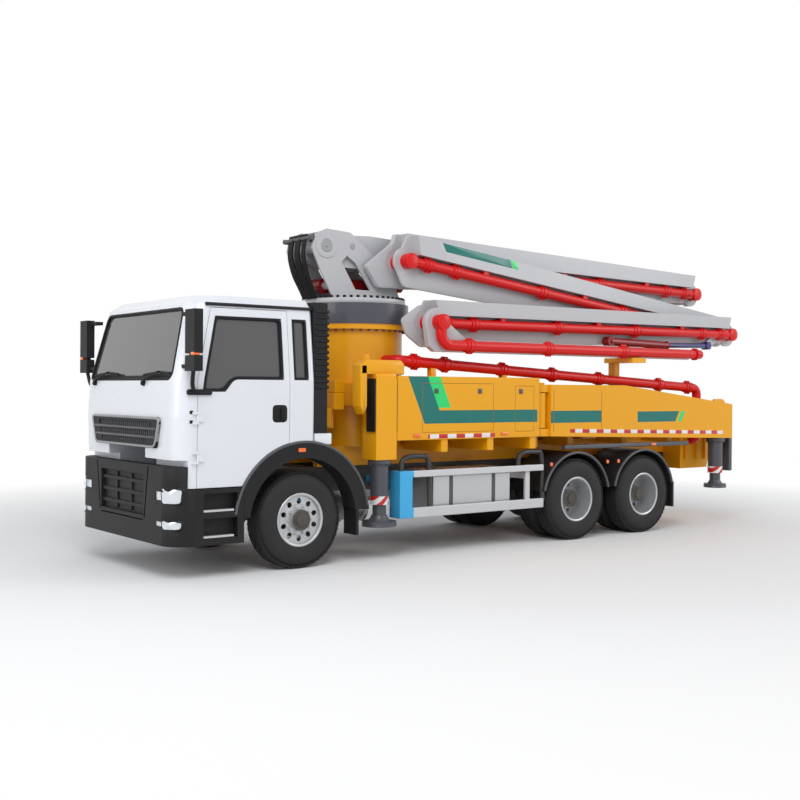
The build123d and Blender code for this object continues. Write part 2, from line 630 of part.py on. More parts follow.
# Mudguards: arched bands over the front wheels and over each twin pair, with flaps behind
REAR_GUARD_INNER = 610
GUARD_THICK = 20
REAR_GUARD_Y = (600, 1235)
with BuildPart() as mudguards:
    for side in SIDES.values():
        ends = sorted((side * (CAB_HALF - FENDER_DEPTH), side * CAB_HALF))
        roller(0, TYRE_RADIUS, ARCH_RADIUS - FIT, *ends)
        roller(0, TYRE_RADIUS, FENDER_INNER, ends[0] - 1, ends[1] + 1, Mode.SUBTRACT)
        block((-1000, 1000), (ends[0] - 1, ends[1] + 1), (-500, 620), Mode.SUBTRACT)
        block((BUMPER_BACK - 2, 1000), (ends[0] - 1, ends[1] + 1), (0, 950), Mode.SUBTRACT)
        block((-FENDER_INNER - 40, -FENDER_INNER - 5), ends, (330, 640))
    for station in REAR_AXLES:
        for side in SIDES.values():
            ends = sorted((side * REAR_GUARD_Y[0], side * REAR_GUARD_Y[1]))
            with BuildSketch(Plane.XZ.offset(-ends[1])) as band:
                with Locations((station, TYRE_RADIUS)):
                    Circle(REAR_GUARD_INNER + GUARD_THICK)
                    Circle(REAR_GUARD_INNER, mode=Mode.SUBTRACT)
                with Locations((station, TYRE_RADIUS - 420)):
                    Rectangle(1400, 1100, mode=Mode.SUBTRACT)
            extrude(band.sketch, amount=ends[1] - ends[0])
    for side in SIDES.values():
        across = (side * REAR_GUARD_Y[0], side * REAR_GUARD_Y[1])
        block((REAR_AXLES[1] - 640, REAR_AXLES[1] - 600), across, (330, 690))
        for station in REAR_AXLES:
            crown = TYRE_RADIUS + REAR_GUARD_INNER
            block((station - 40, station + 40), (side * (RAIL_HALF + 5), side * 620), (crown, crown + GUARD_THICK))
write(mudguards.part, "mudguards")

# Air intake: ribbed upright stack behind the cab's left corner
INTAKE_RIBS = 14
with BuildPart() as air_intake:
    block((CAB_REAR - 190, CAB_REAR), (1020, 1200), (1450, CAB_ROOF - 20))
    for index in range(INTAKE_RIBS):
        height = 2000 + index * 65
        block((CAB_REAR - 205, CAB_REAR - 20), (1005, 1215), (height, height + 30))
write(air_intake.part, "air_intake")

# Tanks beside the frame: fuel tank on the left, battery and air box on the right, with brackets
TANK_FRONT = -1920
TANK_REAR = -3180
TANK_Y = (520, 1130)
TANK_Z = (490, 1010)
with BuildPart() as tanks:
    for side in SIDES.values():
        across = (side * TANK_Y[0], side * TANK_Y[1])
        block((TANK_REAR, TANK_FRONT), across, TANK_Z)
    fillet(edges().filter_by(Axis.X), 90)
    for side in SIDES.values():
        for station in (TANK_FRONT - 250, TANK_REAR + 250):
            block((station - 40, station + 40), (side * RAIL_HALF, side * (TANK_Y[0] + 10)), (RAIL_BOTTOM + 20, RAIL_TOP - 90))
write(tanks.part, "tanks")

# Side guards: two rails on each side, hung from the frame by arms, with a front end box
GUARD_FRONT = -1340
GUARD_REAR = -3700
GUARD_Y = (1185, 1225)
GUARD_RAILS = ((470, 590), (950, 1030))
with BuildPart() as side_guards:
    for side in SIDES.values():
        across = (side * GUARD_Y[0], side * GUARD_Y[1])
        for low, high in GUARD_RAILS:
            block((GUARD_REAR, GUARD_FRONT), across, (low, high))
        for station in (-1450, -3450):
            block((station - 40, station + 40), (side * (GUARD_Y[0] - 40), side * GUARD_Y[0]), (470, 1030))
            block((station - 40, station + 40), (side * RAIL_HALF, side * GUARD_Y[0]), (850, 930))
        block((GUARD_FRONT - 190, GUARD_FRONT), (side * 1010, side * GUARD_Y[1]), (470, 1030))
write(side_guards.part, "side_guards")

# Subframe: box beams along the rails, deck brackets, hinge posts of the rear arms, boom rest
DECK_STATIONS = ((-2050, 1180), (-2800, 1180), (-3540, 1180), (-4500, 920), (-5600, 920), (-6600, 920))
HINGE_LOW = 1500
HINGE_HIGH = 1960
REST_X = -5600
REST_TOP = TIP_BOTTOM - FIT
with BuildPart() as subframe:
    for side in SIDES.values():
        outer = RAIL_HALF + 5
        block((RAIL_REAR, -700), (side * (outer - SUBFRAME_WIDTH), side * outer), (RAIL_TOP, SUBFRAME_TOP))
        for station, reach in DECK_STATIONS:
            block((station - 50, station + 50), (side * outer, side * reach), (SUBFRAME_TOP - 60, DECK_UNDER))
        post_inner = ARM_PIN_Y - ARM_LUG - 15
        block((ARM_PIN_X - 80, ARM_PIN_X + 80), (side * outer, side * post_inner), (SUBFRAME_TOP - 60, HINGE_HIGH))
        block((ARM_PIN_X - 80, ARM_PIN_X + 80), (side * post_inner, side * ARM_PIN_Y), (HINGE_LOW, HINGE_HIGH))
        post(ARM_PIN_X, side * ARM_PIN_Y, ARM_LUG - 2, HINGE_LOW, HINGE_HIGH)
        post(ARM_PIN_X, side * ARM_PIN_Y, ARM_PIN_RADIUS, DECK_UNDER + 5, ARM_TOP - 5)
    block((REST_X - 50, REST_X + 50), (660, 780), (DECK_UNDER, REST_TOP))
    block((REST_X - 140, REST_X + 140), (660, 1190), (REST_TOP - 70, REST_TOP))
    block((PEDESTAL_X - 640, PEDESTAL_X + 640), (-RAIL_HALF, RAIL_HALF), (SUBFRAME_TOP - 80, SUBFRAME_TOP))
write(subframe.part, "subframe")

# Deck boxes: tool cabinets along both sides, oil tank and water tank between them
with BuildPart() as deck_boxes:
    for side in SIDES.values():
        inner = DECK_OUT - CABINET_DEPTH
        block((CABINET_REAR, CABINET_FRONT), (side * inner, side * DECK_OUT), (DECK_UNDER, CABINET_TOP))
    block((-3560, -2300), (-700, 700), (DECK_UNDER, 2080))
    block((-5450, -3950), (-690, 690), (DECK_UNDER, 1990))
write(deck_boxes.part, "deck_boxes")


def sector(x, y, inner, outer, start, end, low, high, mode=Mode.ADD):
    """Part of a flat ring about (x, y), between two headings in degrees."""
    far = outer * 1.2
    rays = [(x + far * math.cos(math.radians(a)), y + far * math.sin(math.radians(a))) for a in (start, end)]
    with BuildSketch(Plane.XY.offset(low)) as face:
        with Locations((x, y)):
            Circle(outer)
            Circle(inner, mode=Mode.SUBTRACT)
        with BuildLine() as wedge:
            Polyline((x, y), *rays, close=True)
        make_face(wedge.line, mode=Mode.INTERSECT)
    extrude(face.sketch, amount=high - low, mode=mode)


# Pedestal: round column with the curved boxes of the front legs through its foot, and the slew ring
BEND_X = LEG_X + BEND_RADIUS
BOX_START = 3.3
BOX_STOP = 31
RING_FLANGE = 60
with BuildPart() as pedestal:
    post(PEDESTAL_X, 0, PEDESTAL_RADIUS, SUBFRAME_TOP, PEDESTAL_TOP)
    post(PEDESTAL_X, 0, RING_RADIUS - 10, PEDESTAL_TOP - RING_FLANGE, PEDESTAL_TOP)
    for clear, under, extra, mode in ((GAP + BOX_WALL, BOX_WALL, 0, Mode.ADD), (GAP, FIT, 8, Mode.SUBTRACT)):
        for name, side in SIDES.items():
            width = BEAM_WIDTH / 2 + clear
            low = BEAM_LEVELS[name] - BEAM_HEIGHT / 2 - under
            high = BEAM_LEVELS[name] + BEAM_HEIGHT / 2 + clear
            turns = (180 + side * (BOX_START - extra), 180 + side * (BOX_STOP + extra))
            sector(BEND_X, side * LEG_Y, BEND_RADIUS - width, BEND_RADIUS + width, *turns, low, high, mode)
    post(PEDESTAL_X, 0, RING_RADIUS, PEDESTAL_TOP, RING_TOP)
write(pedestal.part, "pedestal")

# Front legs: curved beam with its upright tube, and the jack with its flared foot inside
for name, side in SIDES.items():
    level = BEAM_LEVELS[name]
    with BuildPart() as front_beam:
        turns = (180, 180 + side * BEAM_TAIL)
        edges_in, edges_out = BEND_RADIUS - BEAM_WIDTH / 2, BEND_RADIUS + BEAM_WIDTH / 2
        sector(BEND_X, side * LEG_Y, edges_in, edges_out, *turns, level - BEAM_HEIGHT / 2, level + BEAM_HEIGHT / 2)
        across = (side * (LEG_Y - 140), side * (LEG_Y + 140))
        block((LEG_X - LEG_TUBE / 2, LEG_X + LEG_TUBE / 2), across, (LEG_BOTTOM, LEG_TOP))
        post(LEG_X, side * LEG_Y, ROD_RADIUS + FIT, LEG_BOTTOM - 1, LEG_TOP - 60, Mode.SUBTRACT)
    write(front_beam.part, f"front_beam_{name}")
    with BuildPart() as front_leg:
        post(LEG_X, side * LEG_Y, ROD_RADIUS, LEG_FOOT, LEG_TOP - 70)
        post(LEG_X, side * LEG_Y, FOOT_RADIUS, LEG_FOOT, LEG_FOOT + FOOT_THICK)
    write(front_leg.part, f"front_leg_{name}")
    with BuildPart() as rear_arm:
        body_front = ARM_PIN_X - ARM_LUG - 10
        outline = [
            (body_front, DECK_UNDER), (body_front, ARM_TOP), (ARM_KINK, ARM_TOP),
            (ARM_REAR, ARM_TAIL_TOP), (ARM_REAR, ARM_TAIL_BOTTOM),
        ]
        prism(outline, *sorted((side * ARM_INNER, side * DECK_OUT)))
        for low, high in ((DECK_UNDER, HINGE_LOW - 10), (HINGE_HIGH + 10, ARM_TOP)):
            post(ARM_PIN_X, side * ARM_PIN_Y, ARM_LUG, low, high)
            across = (side * (ARM_PIN_Y - ARM_LUG), side * (ARM_PIN_Y + ARM_LUG))
            block((body_front - 5, ARM_PIN_X), across, (low, high))
        post(ARM_PIN_X, side * ARM_PIN_Y, ARM_PIN_RADIUS + FIT, DECK_UNDER - 5, ARM_TOP + 5, Mode.SUBTRACT)
        post(REAR_LEG_X, side * ARM_PIN_Y, ROD_RADIUS + FIT, 1000, ARM_TAIL_TOP - 60, Mode.SUBTRACT)
    write(rear_arm.part, f"rear_arm_{name}")
    with BuildPart() as rear_leg:
        post(REAR_LEG_X, side * ARM_PIN_Y, ROD_RADIUS, REAR_FOOT, ARM_TAIL_TOP - 70)
        post(REAR_LEG_X, side * ARM_PIN_Y, FOOT_RADIUS - 40, REAR_FOOT, REAR_FOOT + FOOT_THICK)
    write(rear_leg.part, f"rear_leg_{name}")

GRATE_PIN = 12
GRATE_HINGE = (HOPPER_FRONT - 12, HOPPER_TOP + 40)

# Pump: material cylinders, water box and drive cylinders, bolted to the open hopper behind
with BuildPart() as pump:
    for side in SIDES.values():
        rod((HOPPER_FRONT, side * PUMP_SPREAD, PUMP_LEVEL), (-5300, side * PUMP_SPREAD, PUMP_LEVEL), PUMP_CYLINDER)
        rod((-4900, side * PUMP_SPREAD, PUMP_LEVEL), (-3300, side * PUMP_SPREAD, PUMP_LEVEL), 75)
    block((-5300, -4900), (-330, 330), (RAIL_TOP, 1370))
    outline = [(HOPPER_FRONT, HOPPER_BOTTOM), (HOPPER_FRONT, HOPPER_TOP), (HOPPER_REAR, HOPPER_TOP), (-7700, HOPPER_BOTTOM)]
    prism(outline, -HOPPER_HALF, HOPPER_HALF)
    wall = HOPPER_WALL
    outline = [
        (HOPPER_FRONT - wall, HOPPER_BOTTOM + wall), (HOPPER_FRONT - wall, HOPPER_TOP + 1),
        (HOPPER_REAR + wall * 1.2, HOPPER_TOP + 1), (-7700 + wall * 0.9, HOPPER_BOTTOM + wall),
    ]
    prism(outline, -HOPPER_HALF + wall, HOPPER_HALF - wall, Mode.SUBTRACT)
    for low, high in ((-HOPPER_HALF + 40, -HOPPER_HALF + 70), (HOPPER_HALF - 70, HOPPER_HALF - 40)):
        block((HOPPER_FRONT - HOPPER_WALL, HOPPER_FRONT), (low, high), (HOPPER_TOP - 40, GRATE_HINGE[1]))
        roller(*GRATE_HINGE, 26, low, high)
        roller(*GRATE_HINGE, GRATE_PIN + FIT, low - 1, high + 1, Mode.SUBTRACT)
write(pump.part, "pump")

# Grating over the hopper, hinged along its front edge
GRATE_BARS = 9
GRATE_LOW = HOPPER_TOP + FIT
GRATE_THICK = 40
with BuildPart() as grate:
    block((HOPPER_REAR, HOPPER_FRONT - 50), (-HOPPER_HALF, HOPPER_HALF), (GRATE_LOW, GRATE_LOW + GRATE_THICK))
    inside = (-HOPPER_HALF + 50, HOPPER_HALF - 50)
    block((HOPPER_REAR + 50, HOPPER_FRONT - 100), inside, (GRATE_LOW - 1, GRATE_LOW + 50), Mode.SUBTRACT)
    for index in range(GRATE_BARS):
        across = (-HOPPER_HALF + 50) + (index + 1) * (2 * HOPPER_HALF - 100) / (GRATE_BARS + 1)
        block((HOPPER_REAR + 40, HOPPER_FRONT - 90), (across - 8, across + 8), (GRATE_LOW, GRATE_LOW + GRATE_THICK))
    roller(*GRATE_HINGE, GRATE_PIN, -HOPPER_HALF + 20, HOPPER_HALF - 20)
    for across in (-300, 300):
        block((HOPPER_FRONT - 60, GRATE_HINGE[0]), (across - 30, across + 30), (GRATE_LOW + 20, GRATE_LOW + GRATE_THICK + 8))
write(grate.part, "grate")

# Turret: base plate on the slew ring and two cheek plates that hold the first section's pin
TURRET_BASE = RING_TOP + FIT
TURRET_PLATE = 60
CHEEK = [
    (-2040, TURRET_BASE + TURRET_PLATE), (-1000, TURRET_BASE + TURRET_PLATE), (-820, 3420), (-690, 3700),
    (-740, 3880), (-900, 3950), (-1250, 3930), (-1560, 3700), (-1900, 3400),
]
CHEEK_WINDOW = [(-1560, 3230), (-1330, 3230), (-1120, 3560), (-1200, 3640), (-1330, 3560)]
with BuildPart() as turret:
    post(PEDESTAL_X, 0, RING_RADIUS - 40, TURRET_BASE, TURRET_BASE + TURRET_PLATE)
    for low, high in ((PLATE_INNER, PLATE_OUTER), (-PLATE_OUTER, -PLATE_INNER)):
        prism(CHEEK, low, high)
        roller(*HINGE_A, 150, low - 12 if low < 0 else low, high if low < 0 else high + 12)
        prism(CHEEK_WINDOW, low - 1, high + 1, Mode.SUBTRACT)
    roller(*HINGE_A, PIN_RADIUS, -PLATE_OUTER, PLATE_OUTER)
    roller(*LIFT_BASE, PIN_RADIUS - 10, -PLATE_OUTER, PLATE_OUTER)
    block((-2000, -1900), (-PLATE_INNER, PLATE_INNER), (TURRET_BASE, 3190))
write(turret.part, "turret")

# First section: deep box from the turret pin back to the rear elbow, with the lift cylinder's lugs
S1_HALF = 240
S1_HEAD = 320
SIDE_VIEW_1 = [
    (-900, 3600), (-820, 3800), (-950, 3885), (-1600, 3920), (-7480, 3670), (-7790, 3600),
    (-7790, 3430), (-7480, 3400), (-3300, 3500), (-1150, 3500),
]
LANES = {2: (330, 565), 3: (580, 760), 4: (775, 956), 5: (970, 1065)}
LUG = (70, 100)
FORK_HALF = 117
FORK = [(-770, 3691), (-2712, 3500), (-2712, 3350), (-770, 3350)]
with BuildPart() as boom_1:
    prism(SIDE_VIEW_1, -S1_HALF, S1_HALF)
    prism(FORK, -FORK_HALF, FORK_HALF, Mode.SUBTRACT)
    roller(*HINGE_B, ELBOW_RADIUS - 30, -S1_HALF, S1_HEAD)
    roller(*HINGE_B, PIN_RADIUS, -S1_HALF, LANES[2][0] + HEAD_PLATE * 2)
    roller(*HINGE_A, PIN_RADIUS + FIT, -S1_HALF - 1, S1_HALF + 1, Mode.SUBTRACT)
    for side in SIDES.values():
        ends = sorted((side * LUG[0], side * LUG[1]))
        prism([(LIFT_EYE[0] - 110, 3520), (LIFT_EYE[0] + 110, 3520), (LIFT_EYE[0] + 50, 3340), (LIFT_EYE[0] - 50, 3340)], *ends)
write(boom_1.part, "boom_1")

# Lift cylinder: barrel on the turret's lower pin, rod with its eye between the section's lugs
BARREL_LENGTH = 1250
EYE_HALF = 55
reach = (LIFT_EYE[0] - LIFT_BASE[0], LIFT_EYE[1] - LIFT_BASE[1])
lift_length = math.hypot(*reach)
lift_way = (reach[0] / lift_length, reach[1] / lift_length)


def along(distance):
    """Point on the lift cylinder's axis, measured from its lower pin."""
    return (LIFT_BASE[0] + lift_way[0] * distance, 0, LIFT_BASE[1] + lift_way[1] * distance)


with BuildPart() as lift_barrel:
    rod(along(0), along(BARREL_LENGTH), LIFT_BARREL)
    roller(*LIFT_BASE, 95, -110, 110)
    roller(*LIFT_BASE, PIN_RADIUS - 10 + FIT, -111, 111, Mode.SUBTRACT)
    rod(along(260), along(BARREL_LENGTH + 1), LIFT_ROD + FIT, Mode.SUBTRACT)
write(lift_barrel.part, "lift_barrel")

with BuildPart() as lift_rod:
    rod(along(300), along(lift_length), LIFT_ROD)
    roller(*LIFT_EYE, 62, -EYE_HALF, EYE_HALF)
    roller(*LIFT_EYE, 34, -EYE_HALF - 1, EYE_HALF + 1, Mode.SUBTRACT)
write(lift_rod.part, "lift_rod")

# Middle sections: each row gives the lane, both hinges and the beam's depth at either end
SECTIONS = (
    # number, root hinge, far hinge, depth at root, depth at far end
    (2, HINGE_B, HINGE_C, 190, 270),
    (3, HINGE_C, HINGE_D, 240, 170),
    (4, HINGE_D, HINGE_E, 170, 190),
)
HEAD_LENGTH = 420
CLAMP_SPOTS = (0.12, 0.37, 0.63, 0.88)
STAY_SPOTS = (0.2, 0.5, 0.8)
for number, root, far, depth_root, depth_far in SECTIONS:
    low, high = LANES[number]
    plate = low + (HEAD_PLATE * 2 if number == 2 else HEAD_PLATE)
    length = math.hypot(far[0] - root[0], far[1] - root[1])
    ahead = ((far[0] - root[0]) / length, (far[1] - root[1]) / length)
    up = (-ahead[1], ahead[0]) if ahead[0] > 0 else (ahead[1], -ahead[0])

    def spot(distance, height):
        """Point in side view: distance along the hinge line, height above it."""
        return (
            root[0] + ahead[0] * distance + up[0] * height,
            root[1] + ahead[1] * distance + up[1] * height,
        )

    with BuildPart() as boom:
        top_root, top_far = BEAM_LIFT + depth_root, BEAM_LIFT + depth_far
        prism([spot(120, BEAM_LIFT), spot(length - 120, BEAM_LIFT), spot(length - 60, top_far), spot(60, top_root)], low, high)
        for hinge, start, turn, top in ((root, 0, 1, top_root), (far, length, -1, top_far)):
            roller(*hinge, ELBOW_RADIUS, low, plate)
            tip, heel = start - turn * 120, start + turn * 160
            prism([spot(tip, 60), spot(start, top), spot(start + turn * HEAD_LENGTH, top), spot(start + turn * HEAD_LENGTH, BEAM_LIFT), spot(heel, 20)], low, plate)
        if number < 4:
            child = LANES[number + 1][0] + HEAD_PLATE
        else:
            child = LANES[5][1]
        roller(*far, PIN_RADIUS, low, child)
        roller(*root, PIN_RADIUS + FIT, low - 1, plate + 1, Mode.SUBTRACT)
    write(boom.part, f"boom_{number}")

    across = plate + FIT + (high - plate - FIT) / 2
    with BuildPart() as boom_pipe:
        rod((root[0], across, root[1]), (far[0], across, far[1]), PIPE_RADIUS)
        for hinge in (root, far):
            roller(*hinge, DRUM_RADIUS - FIT, plate + FIT, high)
        for share in CLAMP_SPOTS:
            begin, end = spot(share * length - CLAMP_WIDTH / 2, 0), spot(share * length + CLAMP_WIDTH / 2, 0)
            rod((begin[0], across, begin[1]), (end[0], across, end[1]), min(CLAMP_RADIUS, (high - plate) / 2 - FIT))
        for share in STAY_SPOTS:
            middle = share * length
            prism([spot(middle - 40, 50), spot(middle + 40, 50), spot(middle + 40, BEAM_LIFT - FIT), spot(middle - 40, BEAM_LIFT - FIT)], across - 40, across + 40)
        roller(*far, PIN_RADIUS + FIT, low, high + 1, Mode.SUBTRACT)
    write(boom_pipe.part, f"pipe_{number}")

# Last section: gooseneck head on its pin and a slim tapering beam below it
low, high = LANES[5]
SIDE_VIEW_5 = [
    (HINGE_E[0] + ELBOW_RADIUS, HINGE_E[1]), (-1900, 2520), (-1990, TIP_BOTTOM), (TIP_X, TIP_BOTTOM),
    (TIP_X, TIP_TOP - 80), (-5800, TIP_TOP), (-2500, TIP_TOP), (HINGE_E[0] - ELBOW_RADIUS, HINGE_E[1]),
]
with BuildPart() as boom_5:
    roller(*HINGE_E, ELBOW_RADIUS, low, high)
    prism(SIDE_VIEW_5, low, high)
    roller(*HINGE_E, PIN_RADIUS + FIT, low - 1, high + 1, Mode.SUBTRACT)
write(boom_5.part, "boom_5")

PIPE_5_Y = high + FIT + PIPE_RADIUS
PIPE_5_Z = TIP_BOTTOM + 80
PIPE_5_END = TIP_X - 160
TIP_SPIGOT = 100
with BuildPart() as pipe_5:
    pipe([(HINGE_E[0], PIPE_5_Y, HINGE_E[1]), (HINGE_E[0], PIPE_5_Y, PIPE_5_Z), (PIPE_5_END, PIPE_5_Y, PIPE_5_Z)], 150)
    roller(*HINGE_E, DRUM_RADIUS, high + FIT, PIPE_5_Y + PIPE_RADIUS)
    collar = PIPE_5_END + TIP_SPIGOT
    rod((collar, PIPE_5_Y, PIPE_5_Z), (collar + 40, PIPE_5_Y, PIPE_5_Z), CLAMP_RADIUS)
write(pipe_5.part, "pipe_5")

# First section's pipe: from the turret pin along the right side to the rear elbow
PIPE_1_Y = -480
with BuildPart() as pipe_1:
    start, end = -PLATE_OUTER - 12 - GAP, -S1_HALF - FIT
    pipe([(HINGE_A[0], start, HINGE_A[1]), (HINGE_A[0], PIPE_1_Y, HINGE_A[1]), (HINGE_B[0], PIPE_1_Y, HINGE_B[1]), (HINGE_B[0], end, HINGE_B[1])], 120)
    for station in (-2600, -4300, -6000):
        share = (station - HINGE_A[0]) / (HINGE_B[0] - HINGE_A[0])
        height = HINGE_A[1] + share * (HINGE_B[1] - HINGE_A[1])
        block((station - 40, station + 40), (PIPE_1_Y + 30, -S1_HALF - FIT), (height - 40, height + 40))
write(pipe_1.part, "pipe_1")

# Deck pipe: from the hopper's side forward along the deck and into the pedestal
DECK_PIPE_Y = 860
DECK_PIPE_FRONT = (-1560, 2350)
DECK_PIPE_REAR = (-7300, 2040)
with BuildPart() as deck_pipe:
    rear_x, rear_z = DECK_PIPE_REAR
    pipe([
        (rear_x, HOPPER_HALF + FIT, 1250), (rear_x, DECK_PIPE_Y, 1250), (rear_x, DECK_PIPE_Y, rear_z),
        (DECK_PIPE_FRONT[0], DECK_PIPE_Y, DECK_PIPE_FRONT[1]), (DECK_PIPE_FRONT[0], PEDESTAL_RADIUS, DECK_PIPE_FRONT[1]),
    ], 105)
    for station in (-2300, -4200, -6400):
        height = rear_z + (station - rear_x) / (DECK_PIPE_FRONT[0] - rear_x) * (DECK_PIPE_FRONT[1] - rear_z)
        rod((station - 35, DECK_PIPE_Y, height - 2), (station + 35, DECK_PIPE_Y, height + 2), CLAMP_RADIUS)
write(deck_pipe.part, "deck_pipe")
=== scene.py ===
import bmesh
import bpy
import math
import numpy as np
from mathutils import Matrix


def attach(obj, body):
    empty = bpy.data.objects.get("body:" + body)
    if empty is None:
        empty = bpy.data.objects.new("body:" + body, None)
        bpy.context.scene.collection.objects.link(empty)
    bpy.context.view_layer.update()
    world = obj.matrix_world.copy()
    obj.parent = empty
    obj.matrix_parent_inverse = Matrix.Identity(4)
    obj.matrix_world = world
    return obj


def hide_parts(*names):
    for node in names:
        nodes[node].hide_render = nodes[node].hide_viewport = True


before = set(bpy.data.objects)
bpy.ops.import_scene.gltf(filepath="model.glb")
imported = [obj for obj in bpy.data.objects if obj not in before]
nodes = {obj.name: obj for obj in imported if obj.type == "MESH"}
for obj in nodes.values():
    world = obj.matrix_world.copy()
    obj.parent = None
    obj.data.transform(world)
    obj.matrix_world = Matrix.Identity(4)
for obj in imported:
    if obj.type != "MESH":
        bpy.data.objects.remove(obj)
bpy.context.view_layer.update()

# Chassis frame: riveted channel rails sprayed with black enamel, with leaf springs, bare cast axles and
# the engine hung between them and a bright silencer; all of it dulls and gathers dust toward the road.
FRONT_AXLE = float(np.mean([corner[0] for corner in nodes["tyre_front_left"].bound_box]))
SIDES = {"left": 1, "right": -1}


class Value:
    """A socket in a material: sums, differences, products and comparisons add Math nodes."""

    def __init__(self, tree, socket):
        self.tree = tree
        self.socket = socket

    def node(self, kind, links, out=0, **settings):
        """Add a node: its settings first, then the value or link of each socket named or numbered."""
        made = self.tree.nodes.new(kind)
        for name, setting in settings.items():
            setattr(made, name, setting)
        for name, given in links.items():
            if isinstance(given, Value):
                self.tree.links.new(given.socket, made.inputs[name])
            else:
                made.inputs[name].default_value = given
        return Value(self.tree, made.outputs[out])

    def out(self, index):
        """Another output of the node that this value comes from."""
        return Value(self.tree, self.socket.node.outputs[index])

    def maths(self, operation, *others, **settings):
        """A Math node of this value and the others, in that order."""
        return self.node("ShaderNodeMath", dict(enumerate((self, *others))), operation=operation, **settings)

    def blend(self, first, second):
        """Colour mix: first where this value is 0, second where it is 1."""
        return self.node("ShaderNodeMix", {0: self, 6: first, 7: second}, out=2, data_type="RGBA")

    def between(self, low, high):
        """1 where this value lies between two limits, else 0."""
        return (self > low) * (self < high)

    def __add__(self, other):
        return self.maths("ADD", other)

    def __sub__(self, other):
        return self.maths("SUBTRACT", other)

    def __rsub__(self, other):
        return self.node("ShaderNodeMath", {0: other, 1: self}, operation="SUBTRACT")

    def __mul__(self, other):
        return self.maths("MULTIPLY", other)

    def __gt__(self, other):
        return self.maths("GREATER_THAN", other)

    def __lt__(self, other):
        return self.maths("LESS_THAN", other)

    __radd__ = __add__
    __rmul__ = __mul__


def tone(red, green, blue):
    """Linear colour of a paint chip given in the usual 0 to 255 screen values."""
    chip = np.array((red, green, blue)) / 255
    linear = np.where(chip < 0.04045, chip / 12.92, ((chip + 0.055) / 1.055) ** 2.4)
    return (*linear.tolist(), 1.0)


def finish(name, varying, constants, slot=None):
    """Material with constants on the shader's sockets; varying(place) gives what changes over the surface."""
    material = bpy.data.materials.new(name)
    material.use_nodes = True
    material["slot"] = slot or name
    tree = material.node_tree
    shader = tree.nodes["Principled BSDF"]
    for socket, constant in constants.items():
        shader.inputs[socket].default_value = constant
    place = Value(tree, tree.nodes.new("ShaderNodeTexCoord").outputs["Object"])
    for socket, value in varying(place).items():
        tree.links.new(value.socket, shader.inputs[socket])
    return material


def noise(place, scale, detail=3):
    """Cloudy 0 to 1 value with features about 1 / scale metres across."""
    return place.node("ShaderNodeTexNoise", {"Vector": place, "Scale": scale, "Detail": detail})


def ripple(place, scale, height):
    """Normal of a fine uneven surface, with hills of the given height in metres."""
    hills = noise(place, scale, 2)
    return place.node("ShaderNodeBump", {"Height": hills, "Distance": height, "Strength": 1.0})


def spread(place):
    """Station from the front axle, distance from the middle line, and height, as three values."""
    parts = place.node("ShaderNodeSeparateXYZ", {0: place})
    return parts - FRONT_AXLE, parts.out(1).maths("ABSOLUTE"), parts.out(2)


DUST = tone(126, 118, 104)


def no_marks(station, across, height):
    """Plain paint."""
    return ()


def enamel(name, colour, rough=0.32, gloss=0.35, soil=0.3, metal=0.0, shine=0.4, marks=no_marks, slot=None):
    """Sprayed enamel: painted marks, mottled tone, dust that thickens below the deck, orange peel."""
    def varying(place):
        station, across, height = spread(place)
        paint = colour
        for mask, shade in marks(station, across, height):
            paint = mask.blend(paint, shade)
        cloud = noise(place, 2.3)
        low = (1.3 - height).maths("MULTIPLY", 0.8, use_clamp=True)
        film = (low * 0.75 + 0.12) * (cloud + noise(place, 19, 4) - 0.35) * soil
        return {
            "Base Color": film.maths("MINIMUM", 0.85, use_clamp=True).blend(paint, DUST),
            "Roughness": cloud * 0.16 + (rough - 0.06),
            "Normal": ripple(place, 240, 0.00012),
        }
    constants = {"Metallic": metal, "Specular IOR Level": shine, "Coat Weight": gloss, "Coat Roughness": 0.12}
    return finish(name, varying, constants, slot)


WELD_REACH = 0.00002
WELD_DIGITS = 5
FLAT_ANGLE = math.radians(0.6)
SHARP_ANGLE = math.radians(38)


def round_edges(width, *names):
    """Weld a node's loose triangles, join its flat facets and round its edges, as on bent metal."""
    for name in names:
        weld = nodes[name].modifiers.new("weld", "WELD")
        weld.merge_threshold = WELD_REACH
        flat = nodes[name].modifiers.new("flat", "DECIMATE")
        flat.decimate_type = "DISSOLVE"
        flat.angle_limit = FLAT_ANGLE
        edge = nodes[name].modifiers.new("edge", "BEVEL")
        edge.width = width
        edge.segments = 2
        edge.limit_method = "ANGLE"
        edge.angle_limit = SHARP_ANGLE
        edge.harden_normals = True


def wear(material, *names):
    """Give these CAD nodes the material."""
    for name in names:
        slots = nodes[name].data.materials
        slots.clear()
        slots.append(material)


